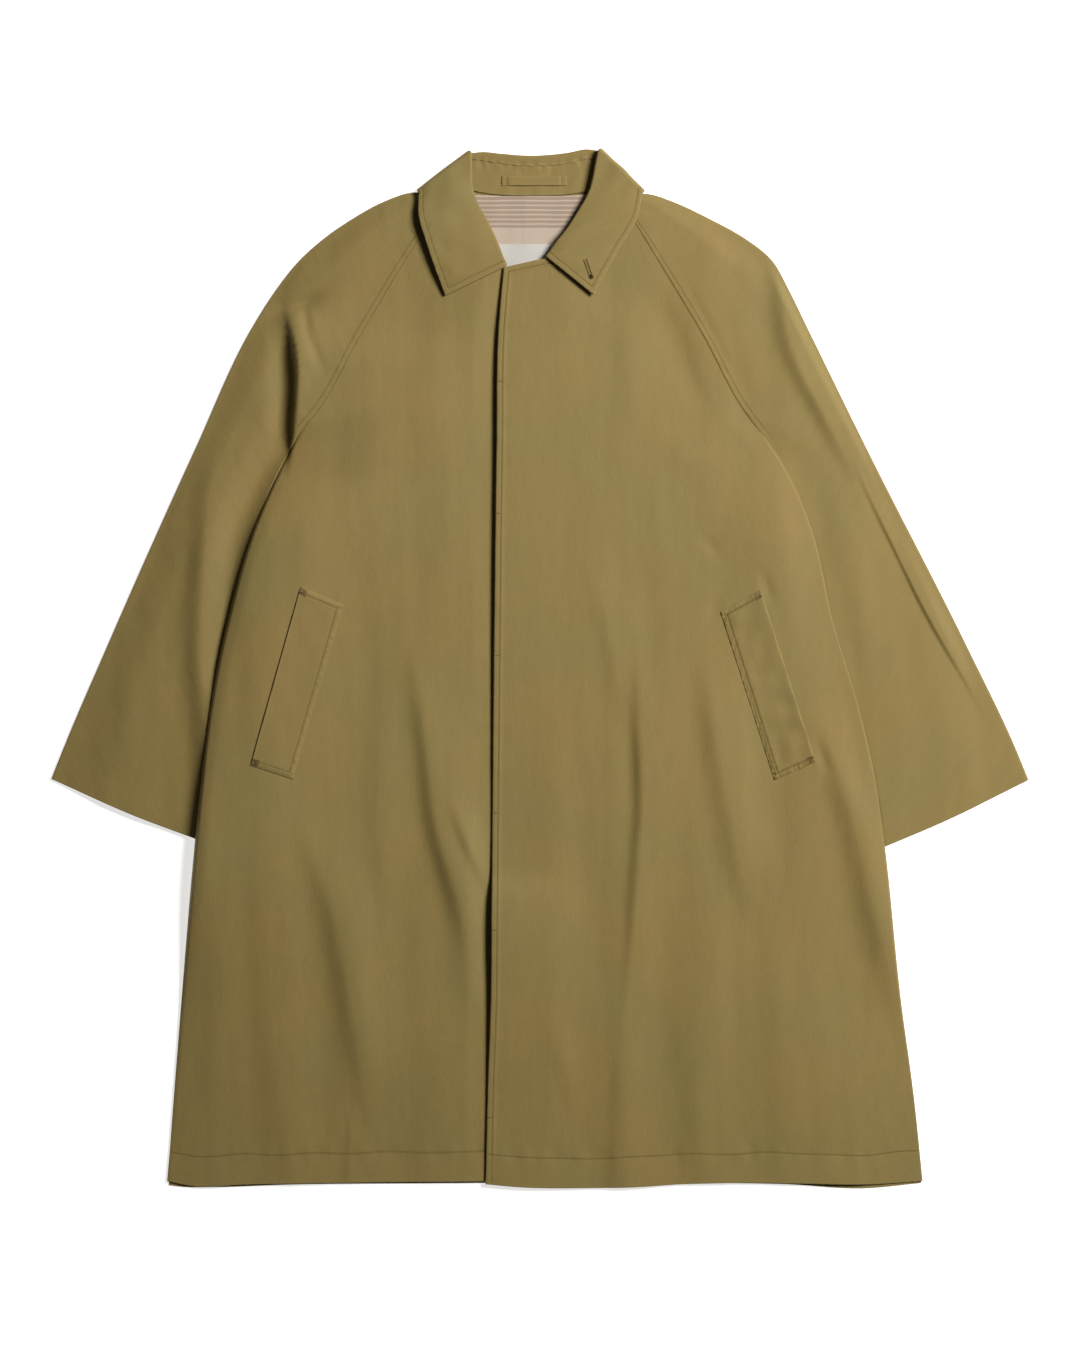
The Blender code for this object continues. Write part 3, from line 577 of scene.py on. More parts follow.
def tuck_lift(plan):
    """How far the body is carried up along its sides by the sleeves under it."""
    y, foot = plan[..., 1], UNDERARM[-1].left_y
    along = ease(ARMPIT_Y - y, -30, 2 * TUCK_RAMP) * (1 - ease(foot - y, 20, 20 + 3 * TUCK_RAMP))
    return SLEEVE_STACK * along * (1 - ease(inside_both(plan), *TUCK_REACH))


def fold_heights(plan, folds):
    """The folds' heights: on each level a bell about the crest, growing and fading along it."""
    x, y = plan[..., 0], plan[..., 1]
    height = np.zeros(x.shape)
    for fold in folds:
        path = curve(((fold.x0, fold.y0), (fold.x1, fold.y1), (fold.x2, fold.y2)))[::-1]
        beside = x - np.interp(y, path[:, 1], path[:, 0])
        share = (fold.y0 - y) / (fold.y0 - fold.y2)
        grown = ease(share, 0, FOLD_GROWN) * (1 - ease(share, 1 - FOLD_GROWN, 1))
        near = np.abs(beside) / np.where(beside < 0, fold.left, fold.right)
        climb = np.clip(1 - near, 0, 1) ** 2 if fold.hollow else bell(near)
        height += fold.height * grown * np.where(beside < 0, climb, bell(near))
    return height


def dent_heights(plan):
    """The small dents: a bell in each of two directions."""
    height = np.zeros(plan.shape[:-1])
    for dent in DENTS:
        turn = math.radians(dent.turn)
        x, y = plan[..., 0] - dent.x, plan[..., 1] - dent.y
        along = x * math.cos(turn) + y * math.sin(turn)
        across = y * math.cos(turn) - x * math.sin(turn)
        height += dent.height * bell(along / dent.length) * bell(across / dent.width)
    return height


def drape(plan, folds, side):
    """Everything that moves the upper cloth up and down: folds, dents and a faint unevenness.

    A piece's own folds die out at the raglan seam, so that both pieces meet there.
    """
    moved = plan + np.stack([ripple(plan, "sway_across"), ripple(plan, "sway_down")], axis=-1)
    uneven = sum(ripple(plan, name) for name in ("wide", "narrow", "fine"))
    own = 1 - (1 - below_armpit(plan)) * (1 - ease(np.abs(inside_body(plan, side)), 0, 24))
    return (fold_heights(moved, ARMPIT_FOLDS) + own * fold_heights(moved, folds)
            + dent_heights(moved) + uneven)


def above_nothing(height, soft=0.5):
    """The height where it is above zero, with a soft foot."""
    return 0.5 * (height + np.sqrt(height**2 + soft**2))


def side_meeting(plan):
    """Where the front and the back meet at the folded side."""
    return under_base(plan) + tuck_lift(plan) + LAYER


def below_armpit(plan):
    """0 above the armpits and 1 below them."""
    return ease(ARMPIT_Y - plan[..., 1], *ARMPIT_FADE)


def front_height(plan, side):
    """Middle of a front: on the back at its rounded side, lofted inside, flat under the fly."""
    inside, below = inside_body(plan, side), below_armpit(plan)
    past_edge, lift = from_front_edge(plan)
    past_fly = past_edge - FLY_OVERLAP
    free = ease(-past_edge, -4, 26) if side == "right" else ease(past_fly, -20, FLY_FADE)
    roll = SIDE_ROLL[side]
    run = (0.15 + ease(plan[..., 1], *ROLL_FOOT)) * (1 - 0.9 * ease(plan[..., 1], *ROLL_TOP))
    from_roll = inside - roll.place
    crest = bell(from_roll / np.where(from_roll < 0, roll.outer, roll.inner))
    loft = (FRONT_LOFT * ease(inside, 0, 90) * (0.6 + 0.4 * free)
            + RAGLAN_LOFT * (1 - ease(inside, 0, 60)) * (1 - below)
            + roll.height * run * below * crest)
    above_hem = ease(plan[..., 1] - HEM_LEVEL.y, 0, HEM_CALM)
    calm = ease(neck_distance(plan), *LOFT_FADE) * (0.4 + 0.6 * above_hem)
    shaped = calm * loft + free * drape(plan, FRONT_FOLDS[side], side)
    height = upper_base(plan) + tuck_lift(plan) + above_nothing(shaped)
    meeting = side_meeting(plan)
    height = meeting + (height - meeting) * (1 - below * (1 - rim(inside, SIDE_ROUND[side])))
    if side == "left":
        over_fly = FLY_STEP * (1 - ease(past_fly, 15, 15 + FLY_FADE))
        height += over_fly + lift * (1 - ease(past_edge, *LIFT_REACH))
    return height + CLOTH / 2


def sleeve_height(plan, side):
    """Middle of a sleeve's upper half: rounded at the overarm, low where it runs under the body."""
    over = away(plan, sleeve_line(side, OVERARM))
    share = over / (over + away(plan, np.vstack([raglan(side), underarm(side)])) + 1e-6)
    below = below_armpit(plan)
    floor = under_base(plan) + LAYER
    risen = ease(share, 0, 0.35)
    loft = (SLEEVE_LOFT[side] * risen * (1 - ease(share, 0.5, 0.9))
            + RAGLAN_LOFT * (1 - below) * ease(share, 0.5, 0.9))
    calm = ease(neck_distance(plan), *LOFT_FADE)
    shaped = calm * loft + ease(share, 0, 0.12) * drape(plan, SLEEVE_FOLDS[side], side)
    height = floor + (upper_base(plan) - floor) * risen + above_nothing(shaped)
    outside = PRESS_INSET[side] - inside_body(plan, side)
    room = SLEEVE_STACK - LAYER + PRESS_SLOPE * np.clip(outside, 0, None)
    height -= below * above_nothing(height - room)
    return floor + (height - floor) * rim(over, OVERARM_ROUND) + CLOTH / 2 * rim(over, 2.0)


def back_height(plan):
    """Middle of the back: on the floor or the sleeves, turned up at the sides to meet the fronts."""
    low = under_base(plan) + tuck_lift(plan) + CLOTH / 2
    rounded = 1 - rim(inside_both(plan), BACK_ROUND)
    return low + (side_meeting(plan) - low) * below_armpit(plan) * rounded


# Meshes


def edge_distances(grid):
    """Distances of each point from the grid's start, end, top and bottom, along its own lines."""
    across = np.cumsum(np.linalg.norm(np.diff(grid, axis=1, prepend=grid[:, :1]), axis=-1), axis=1)
    down = np.cumsum(np.linalg.norm(np.diff(grid, axis=0, prepend=grid[:1]), axis=-1), axis=0)
    return across, across[:, -1:] - across, down, down[-1:] - down


def normals_of(grid, facing):
    """Unit normals of a grid, turned to the side it faces, and whether they had to be turned."""
    normal = np.cross(np.gradient(grid, axis=0), np.gradient(grid, axis=1))
    normal /= np.linalg.norm(normal, axis=-1, keepdims=True) + 1e-12
    turned = (normal * facing).sum(axis=-1).mean() < 0
    return (-normal if turned else normal), turned


def put_mesh(name, points, quads, cut=None, wear_and_shade=None):
    """A named object in metres from points and four-sided faces, with its cut, its edge wear and its
    painted groove shade.
    """
    mesh = bpy.data.meshes.new(name)
    mesh.vertices.add(len(points))
    mesh.vertices.foreach_set("co", (points * MM).astype(np.float32).ravel())
    mesh.loops.add(quads.size)
    mesh.loops.foreach_set("vertex_index", quads.astype(np.int32).ravel())
    mesh.polygons.add(len(quads))
    mesh.polygons.foreach_set("loop_start", np.arange(0, quads.size, 4, dtype=np.int32))
    mesh.update(calc_edges=True)
    mesh.shade_smooth()
    if cut is not None:
        layer = mesh.uv_layers.new(name="cut")
        layer.data.foreach_set("uv", (cut * MM)[quads.ravel()].astype(np.float32).ravel())
    if wear_and_shade is not None:
        mesh.attributes.new("wear_and_shade", "FLOAT", "POINT").data.foreach_set("value", wear_and_shade.astype(np.float32))
    made = bpy.data.objects.new(name, mesh)
    bpy.context.scene.collection.objects.link(made)
    return made


def grid_quads(index):
    """Four-sided faces between the neighbours of a grid of point numbers."""
    corners = (index[:-1, :-1], index[1:, :-1], index[1:, 1:], index[:-1, 1:])
    return np.stack(corners, axis=-1).reshape(-1, 4)


def shell(name, middle, wall, cut, relief=0.0, facing=UP, crisp=0.0, groove=0.0):
    """A closed thin shell about a middle grid, and its upper side.

    The upper and lower sides lie half a wall out along the normals. The half wall rounds off to
    nothing at the edges, where the two sides share their points: softly at folds, and at once where
    crisp is 1, as at flat seams. Relief is added to the upper side, and groove is shade painted in
    stitching.
    """
    edge = np.minimum.reduce(edge_distances(middle))
    half = wall / 2 * rim(edge, np.asarray(wall) / 2 * (1.15 - 0.85 * crisp))
    normal, turned = normals_of(middle, facing)
    upper = middle + normal * (half + relief * ease(edge, 0, 1.0))[..., None]
    lower = middle - normal * half[..., None]
    top = np.arange(edge.size).reshape(edge.shape)
    inner = top[1:-1, 1:-1]
    under = top.copy()
    under[1:-1, 1:-1] = top.size + np.arange(inner.size).reshape(inner.shape)
    quads = np.concatenate([grid_quads(top), grid_quads(under)[:, ::-1]])
    both = np.concatenate([top.ravel(), inner.ravel()])
    points = np.concatenate([upper.reshape(-1, 3), lower[1:-1, 1:-1].reshape(-1, 3)])
    # Above zero: wear, paler along the edges. Below zero: painted shade in stitched grooves and seams.
    wear_and_shade = ((1 - crisp) * bell(edge / 1.4) - groove).ravel()[both]
    made = put_mesh(name, points, quads[:, ::-1] if turned else quads, cut.reshape(-1, 2)[both], wear_and_shade)
    return made, upper


def cut_along(plan, grain=0.0):
    """Where each point lies on the cut cloth, its grain turned from the coat's length."""
    c, s = math.cos(grain), math.sin(grain)
    return plan @ np.array([[c, s], [-s, c]])


def shade(distance, inset=EDGE_INSET):
    """A bell about a line of stitching: the depth of its groove, and the shade painted in it."""
    return bell((distance - inset) / GROOVE_WIDTH)


def stitched(distance, inset=EDGE_INSET, swell=0.3, depth=0.3):
    """Relief of a sewn edge: a low swell out to the stitching, pulled down in a groove along it."""
    return (swell * np.sin(np.pi * np.clip(distance / inset, 0, 1))
            - depth * shade(distance, inset))


def flat_seam(distance):
    """1 at a flat seam, where the cloth keeps its full wall, and 0 away from it."""
    return 1 - ease(distance, 1, 3)


def folded_wall(distance, single, folded, inset=EDGE_INSET):
    """Wall of a turned edge: folded out to its stitching, single beyond."""
    return single + (folded - single) * (1 - ease(distance, inset + 1, inset + 4))


def thread_mesh(name, lines, pitch, thick, filled):
    """One joined mesh of stitches: every pitch a short thread, bent so that its ends sink in.

    A thread is a six-sided tube along its spine, and two faces close each of its ends.
    """
    sections, sides = 5, 6
    points, quads, count = [], [], 0
    turn = np.linspace(0, 2 * np.pi, sides, endpoint=False)
    t = np.linspace(0, 1, sections)
    swell = np.sqrt(np.clip(1 - (2 * t - 1) ** 4, 0.2, 1)) * thick / 2
    ring = np.arange(sections * sides).reshape(sections, sides)
    around = np.concatenate([ring, ring[:, :1]], axis=1)
    one = np.concatenate([grid_quads(around), ring[0][[[0, 1, 2, 3], [0, 3, 4, 5]]],
                          ring[-1][[[3, 2, 1, 0], [5, 4, 3, 0]]]])
    for line in lines:
        number = max(1, int(length_of(line) / pitch))
        share = (np.arange(number)[:, None] + filled * t + (1 - filled) / 2) / number
        spine = walk(line, share) + UP * (thick * (0.55 * np.sin(np.pi * t) - 0.15))[:, None]
        along = np.gradient(spine, axis=1)
        along /= np.linalg.norm(along, axis=-1, keepdims=True)
        beside = np.cross(along, UP)
        beside /= np.linalg.norm(beside, axis=-1, keepdims=True)
        above = np.cross(beside, along)
        tube = (spine[:, :, None] + swell[:, None, None] * (
            np.cos(turn)[:, None] * beside[:, :, None] + np.sin(turn)[:, None] * above[:, :, None]))
        points.append(tube.reshape(-1, 3))
        first = count + ring.size * np.arange(number)
        quads.append((one + first[:, None, None]).reshape(-1, 4))
        count += ring.size * number
    return put_mesh(name, np.concatenate(points), np.concatenate(quads))


# Materials


class Finish:
    """A node material in the making: its methods add nodes and give back what comes out of them."""

    def __init__(self, name):
        self.material = bpy.data.materials.new(name)
        self.material.use_nodes = True
        self.tree = self.material.node_tree

    def plug(self, socket, value):
        """Link an output to a socket, or set the socket's own value. A plain colour is opaque."""
        if isinstance(value, bpy.types.NodeSocket):
            self.tree.links.new(value, socket)
        else:
            socket.default_value = (*value, 1.0) if isinstance(value, Color) else value

    def add(self, kind, inputs=(), **settings):
        """A node of this kind with its settings and inputs."""
        node = self.tree.nodes.new("ShaderNode" + kind)
        for key, value in settings.items():
            setattr(node, key, value)
        for key, value in dict(inputs).items():
            self.plug(node.inputs[key], value)
        return node

    def place(self):
        """Object coordinates, in metres."""
        return self.add("TexCoord").outputs["Object"]

    def mapped(self, vector, **change):
        """Coordinates turned or scaled."""
        return self.add("Mapping", {"Vector": vector, **change}).outputs[0]

    def bands(self, vector, period, way="X", **shape):
        """Soft bands across one direction that repeat at this period in millimetres."""
        inputs = {key.replace("_", " "): value for key, value in shape.items()}
        inputs.update(Vector=vector, Scale=2 * math.pi / (20 * period * MM))
        return self.add("TexWave", inputs, bands_direction=way).outputs["Fac"]

    def noise(self, vector, scale, detail, roughness=0.5):
        """Cloudy noise from 0 to 1."""
        inputs = {"Vector": vector, "Scale": scale, "Detail": detail, "Roughness": roughness}
        return self.add("TexNoise", inputs).outputs["Fac"]

    def ranged(self, value, low, high, start=0.0, end=1.0, clamp=True):
        """Low to high as a value goes from start to end."""
        inputs = {"Value": value, "From Min": start, "From Max": end, "To Min": low, "To Max": high}
        return self.add("MapRange", inputs, clamp=clamp).outputs[0]

    def mix(self, factor, a, b, way="MIX"):
        """Two colours mixed by a factor."""
        node = self.add("Mix", {0: factor, 6: a, 7: b}, data_type="RGBA", blend_type=way)
        return node.outputs[2]

    def shaded(self, tone, value, low, high, start=0.0, end=1.0):
        """A colour times low to high as a value goes from start to end."""
        return self.mix(1.0, tone, self.ranged(value, low, high, start, end), "MULTIPLY")

    def bump(self, height, depth, strength=0.5, **below):
        """A normal bent by a pattern this many millimetres deep."""
        inputs = {"Height": height, "Strength": strength, "Distance": depth * MM, **below}
        return self.add("Bump", inputs).outputs[0]

    def done(self, **values):
        """The material, with these values on its shader."""
        shader = self.tree.nodes["Principled BSDF"]
        for key, value in values.items():
            self.plug(shader.inputs[key.replace("_", " ")], value)
        return self.material


def gabardine(colours):
    """Steep twill ribs with faint slubs, in olive drifting to brown and paler along rubbed edges.

    Below zero the same attribute is painted shade in stitched grooves and seams, where the cloth is
    darker and quite dull.
    """
    name = "gabardine_twill"
    if name in bpy.data.materials:
        return bpy.data.materials[name]
    cloth = Finish(name)
    cut = cloth.add("UVMap", uv_map="cut").outputs["UV"]
    wear_and_shade = cloth.add("Attribute", attribute_name="wear_and_shade").outputs["Fac"]
    twill = cloth.mapped(cut, Rotation=(0.0, 0.0, math.radians(TWILL_LEAN)))
    ribs = cloth.bands(twill, TWILL_PITCH, Distortion=1.5, Detail=1.0, Detail_Scale=3.0)
    slub = cloth.noise(cloth.mapped(cut, Scale=(900.0, 110.0, 1.0)), 1.0, 3.0)
    streak = cloth.noise(cloth.mapped(cut, Scale=(90.0, 26.0, 1.0)), 1.0, 4.0, 0.6)
    drift = cloth.noise(cloth.place(), 9.0, 2.0, 0.45)
    tone = cloth.mix(cloth.ranged(drift, 0.0, 1.0, 0.35, 0.65), colours.olive, colours.brown)
    tone = cloth.shaded(tone, streak, 0.97, 1.03, 0.3, 0.7)
    tone = cloth.mix(cloth.ranged(wear_and_shade, 0.0, 0.2), tone, colours.worn)
    # Painted shade: darker in stitched grooves and seams, where shade falls.
    tone = cloth.mix(cloth.ranged(wear_and_shade, 0.0, 0.85, 0.0, -1.0), tone, colours.seam)
    tone = cloth.shaded(tone, slub, 0.90, 1.10)
    tone = cloth.shaded(tone, ribs, 0.88, 1.06)
    rough = cloth.ranged(wear_and_shade, cloth.ranged(slub, 0.64, 0.80), 1.0, 0.0, -0.5)
    ribbed = cloth.bump(ribs, 0.10)
    rumpled = cloth.bump(streak, 0.7, Normal=ribbed)
    slubbed = cloth.bump(slub, 0.20, Normal=rumpled)
    return cloth.done(Base_Color=tone, Roughness=rough, Normal=slubbed, Sheen_Weight=0.02,
                      Sheen_Roughness=0.5, Sheen_Tint=SHEEN_TINT, Specular_IOR_Level=0.4)


def sewing_thread(name, tone):
    """Twisted thread: fine slanted bands along and round it."""
    thread = Finish(name)
    twist = thread.bands(thread.place(), 0.5, "DIAGONAL", Distortion=0.6)
    return thread.done(Base_Color=thread.shaded(tone, twist, 0.7, 1.1), Roughness=0.6,
                       Normal=thread.bump(twist, 0.08), Sheen_Weight=0.03, Specular_IOR_Level=0.25)


def striped_lining(colours):
    """Plain weave with a group of fine cross stripes below the neck, swaying a little."""
    lining = Finish("striped_lining_weave")
    place = lining.place()
    height = lining.add("SeparateXYZ", {"Vector": place}).outputs["Y"]
    swayed = {0: lining.noise(place, 35.0, 2.0), 1: STRIPE_SWAY * MM, 2: height}
    level = lining.add("Math", swayed, operation="MULTIPLY_ADD").outputs[0]
    foot = STRIPE_FOOT * MM
    turns = lining.ranged(level, 0.0, 1.0, foot, foot + STRIPE_PERIOD * MM, clamp=False)
    ramp = lining.add("ValToRGB", {"Fac": lining.add("Math", {0: turns}, operation="FRACT").outputs[0]})
    stops = ramp.color_ramp.elements
    stops[0].color = stops[1].color = (*colours.stripe, 1.0)
    for position, tone in ((0.56, colours.stripe), (0.68, colours.cream), (0.86, colours.cream)):
        stops.new(position).color = (*tone, 1.0)
    within = lining.ranged(level, 0.0, 1.0, foot - 0.6 * MM, foot + 0.2 * MM)
    tone = lining.mix(within, colours.lining, ramp.outputs["Color"])
    weave = {0: lining.bands(place, 0.5, "X"), 1: lining.bands(place, 0.5, "Y")}
    cross = lining.add("Math", weave, operation="MULTIPLY").outputs[0]
    cloudy = lining.noise(place, 60.0, 3.0)
    return lining.done(Base_Color=lining.shaded(tone, cloudy, 0.93, 1.05), Roughness=0.62,
                       Normal=lining.bump(cross, 0.08, 0.4), Sheen_Weight=0.08,
                       Specular_IOR_Level=0.35)


def woven_tape(name, tone):
    """Close cross ribs, as on a plain woven label."""
    tape = Finish(name)
    place = tape.place()
    ribs = tape.bands(place, 0.6, "Y", Distortion=0.5)
    cloudy = tape.noise(place, 90.0, 2.0)
    return tape.done(Base_Color=tape.shaded(tone, cloudy, 0.94, 1.04), Roughness=0.5,
                     Normal=tape.bump(ribs, 0.08, 0.4), Sheen_Weight=0.05)


# Pieces


def dress(made, material, node=None):
    """Finish of a piece: its material, its body, and the node it stands for, which it hides.
    """
    made.data.materials.append(material)
    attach(made, "root")
    if node:
        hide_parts(node)
    return made


def make_back(material):
    """The back: its seams straight from the neck to the armpits, with shade painted along them and
    across its hem.
    """
    neck = curve(NECK_BACK)
    hem = curve(HEM_BACK) - np.array([0.0, BACK_HEM_DROP])
    sides = []
    for side, foot in (("right", hem[0]), ("left", hem[-1])):
        edge = body_edge(side)
        sides.append(np.vstack([back_seam(side), edge[edge[:, 1] < ARMPIT_Y][:-4], foot]))
    plan = cloth_plan(neck, hem, *sides, *GRID["back"])
    grid = np.dstack([plan, back_height(plan)])
    from_right, from_left, _, from_hem = edge_distances(grid)
    # Painted shade along the raglan seams and in a line across the hem, at the height of its stitching.
    seam_shade = 0.4 * (1 - below_armpit(plan)) * shade(np.minimum(from_right, from_left), 0)
    made, _ = shell("back_panel", grid, CLOTH, cut_along(plan), facing=-UP,
                    groove=seam_shade + 0.5 * shade(from_hem, HEM_INSET))
    return dress(made, material, "back")


def make_front(side, material, sizes):
    """One front: its hem turned up and stitched, and the left one's edge and neck stitched."""
    neck = curve((*NECK[side], (getattr(NECK_LEVEL, side), NECK_LEVEL.y)))
    hem = curve((*HEM[side], (getattr(HEM_LEVEL, side), HEM_LEVEL.y)))
    outer = np.vstack([body_edge(side)[:-4], hem[-1:]])
    if side == "left":
        centre = curve([(row.x, row.y) for row in FRONT_EDGE])
    else:
        lapped = [(row.x + FLY_OVERLAP, row.y) for row in FRONT_EDGE[2:-1]]
        centre = curve([NECK[side][0], *lapped, HEM[side][0]])
    plan = cloth_plan(neck, hem, centre, outer, *GRID["front"])
    from_centre, from_side, from_neck, from_hem = edge_distances(plan)
    by_stitches = bell((from_hem - HEM_INSET) / 14)
    plan[..., 1] += ripple(plan, "hem_line") * by_stitches * ease(from_hem, 0, 20)
    grid = np.dstack([plan, front_height(plan, side)])
    above = 1 - below_armpit(plan)
    relief = (stitched(from_hem, HEM_INSET, 0.05, 0.25)
              + ripple(plan, "hem_pucker") * bell((from_hem - HEM_INSET) / 9))
    # Painted shade in the hem's stitching groove and along the raglan seam.
    groove = 0.5 * shade(from_hem, HEM_INSET) + RAGLAN_SHADE[side] * above * shade(from_side, 0)
    crisp = above * flat_seam(from_side)
    wall = folded_wall(from_hem, sizes.layer, sizes.layer + HEM_FOLD, HEM_INSET - 2)
    if side == "left":
        sewn = np.minimum(from_centre, from_neck)
        pucker = ripple(plan, "edge_pucker") * bell((sewn - 5) / 7)
        relief = relief + stitched(sewn, swell=0.2, depth=0.2) + pucker
        # Painted shade in the groove of the edge and neck stitching.
        groove = groove + 0.36 * shade(sewn)
        wall = np.maximum(wall, folded_wall(sewn, sizes.layer, sizes.folded))
    made, upper = shell("front_" + side + "_panel", grid, wall, cut_along(plan), relief, crisp=crisp,
                        groove=groove)
    seams["hem"].append(upper[-1 - HEM_ROW, EDGE_ROW:-3])
    if side == "left":
        seams["edge"].append(upper[EDGE_ROW:-HEM_ROW, EDGE_ROW])
        seams["edge"].append(upper[EDGE_ROW, EDGE_ROW:70])
        edge = upper[:, :EDGE_ROW + 1]
        rows = [np.abs(edge[:, 0, 1] - y).argmin() for y in BAR_TACKS]
        seams["tack"].extend(edge[row, 3:] for row in rows)
    return dress(made, material, "front_" + side)


def sleeve_plan(side, seam, columns, rows):
    """Plan of a sleeve half between the overarm and its raglan seam run on into the underarm."""
    outer = sleeve_line(side, OVERARM)
    inner = np.vstack([seam, underarm(side)])
    cuff = curve([outer[-1], (outer[-1] + inner[-1]) / 2 + np.array([0.0, -CUFF_BOW]), inner[-1]])
    return cloth_plan(curve([outer[0], inner[0]]), cuff, outer, inner, columns, rows,
                      ends=(PLAIN_STEPS, EDGE_STEPS))


def make_sleeve(side, material, sizes):
    """Both halves of a sleeve: the back one on the floor, the front one stitched along the raglan."""
    plan = sleeve_plan(side, back_seam(side), *GRID["sleeve_back"])
    over = away(plan, sleeve_line(side, OVERARM))
    height = under_base(plan) + CLOTH / 2 + (LAYER - CLOTH / 2) * (1 - rim(over, SLEEVE_BACK_ROUND))
    grid = np.dstack([plan, height])
    cut = cut_along(plan, SLEEVE_GRAIN[side])
    made, _ = shell("sleeve_back_" + side + "_panel", grid, sizes.layer, cut, facing=-UP)
    dress(made, material, "sleeve_back_" + side)

    plan = sleeve_plan(side, raglan(side), *GRID["sleeve_front"])
    grid = np.dstack([plan, sleeve_height(plan, side)])
    _, from_seam, _, from_cuff = edge_distances(grid)
    sewn = 1 - below_armpit(plan)
    pucker = ripple(plan, "raglan_pucker") * bell((from_seam - 4) / 7)
    relief = sewn * (stitched(from_seam, swell=0.06, depth=0.06) + pucker)
    wall = sizes.layer + HEM_FOLD * (1 - ease(from_cuff, 4, 34))
    cut = cut_along(plan, SLEEVE_GRAIN[side])
    # Painted shade in the topstitching's groove and along the raglan seam.
    groove = sewn * (0.2 * shade(from_seam) + RAGLAN_SHADE[side] * shade(from_seam, 0))
    made, upper = shell("sleeve_front_" + side + "_panel", grid, wall, cut, relief,
                        crisp=sewn * flat_seam(from_seam), groove=groove)
    line = upper[:, -1 - EDGE_ROW]
    seams["edge"].append(line[line[:, 1] > ARMPIT_Y + 6])
    dress(made, material, "sleeve_front_" + side)


def collar_point(row, part):
    """A station's roll, fall or neck point; the stand's foot lies level with the panel sewn to it."""
    place = np.array([getattr(row, part + "_x"), getattr(row, part + "_y")])
    if part == "neck":
        base = under_base if row.under else upper_base
        return np.array([*place, float(base(place)) + STAND / 2 + STAND_GAP])
    return np.array([*place, getattr(row, part + "_z")])


def collar_run(rows, share):
    """Stations along rows on one side of the coat: roll, fall, neck and the way into the neck."""
    lines = [walk(curve([collar_point(row, part) for row in rows]), share) for part in COLLAR_PARTS]
    inward = np.tile(UP if rows[0].under else -UP, (len(share), 1))
    return np.stack([*lines, inward], axis=1)


def collar_turn(high, low, steps=22):
    """Stations of the half circle round the side of the neck, from an upper row to an under one."""
    angle = np.linspace(0, np.pi, steps + 2)[1:-1, None]
    along = collar_point(low, "fall") - collar_point(low, "roll")
    out = np.cross(along, UP)
    out *= np.sign(out[1]) / np.linalg.norm(out)
    lines = []
    for part in COLLAR_PARTS:
        top, foot = collar_point(high, part), collar_point(low, part)
        lines.append((top + foot) / 2 + (top - foot) / 2 * np.cos(angle)
                     + out * TURN_REACH * np.sin(angle))
    return np.stack([*lines, -out * np.sin(angle) - UP * np.cos(angle)], axis=1)


def collar_stations():
    """All stations, from the right front end round the back to the left front end."""
    runs = itertools.groupby(COLLAR, key=lambda row: row.under)
    right, under, left = (list(run) for _, run in runs)
    near = spread([120.0], 64, EDGE_STEPS, (0.0, 1.8))[0]
    return np.concatenate([
        collar_run(right, near),
        collar_turn(right[-1], under[0]),
        collar_run(under, np.linspace(0, 1, 120)),
        collar_turn(left[0], under[-1])[::-1],
        collar_run(left, 1 - near[::-1]),
    ])


def lip_lengths(stations):
    """The leaf's turned-in lip: full round the back, short where the stand runs out in front."""
    return np.minimum(LIP, np.linalg.norm(stations[:, 2] - stations[:, 0], axis=1) * 0.4)


def past_roll(stations):
    """The way from the fall past the roll, at each station."""
    beyond = stations[:, 0] - stations[:, 1]
    return beyond / np.linalg.norm(beyond, axis=1, keepdims=True)


def sew_buttonhole(surface):
    """Lines of a worked buttonhole: short threads across both sides of a slit and round its eye."""
    top, eye = (np.array(end) for end in BUTTONHOLE)
    slit = np.linalg.norm(eye - top)
    along = (eye - top) / slit
    across = np.array([-along[1], along[0]])

    def on_cloth(*places):
        nearest = np.linalg.norm(surface[:, None, :2] - np.array(places), axis=-1).argmin(axis=0)
        return np.column_stack([places, surface[nearest, 2]])

    for side in (-1, 1):
        for share in np.arange(0.0, slit, HOLE_PITCH):
            foot = top + along * share
            seams["buttonhole"].append(on_cloth(*(foot + side * far * across for far in HOLE_THREAD)))
    for angle in np.radians(EYE_ANGLES):
        way = along * math.cos(angle) + across * math.sin(angle)
        seams["buttonhole"].append(on_cloth(*(eye + far * way for far in EYE_THREAD)))
    seams["slit"].append(on_cloth(top, eye))
    # A thick near-black thread laid in the eye is painted shade for its hole.
    seams["eye"].append(on_cloth(eye - 1.9 * along, eye + 1.5 * along))


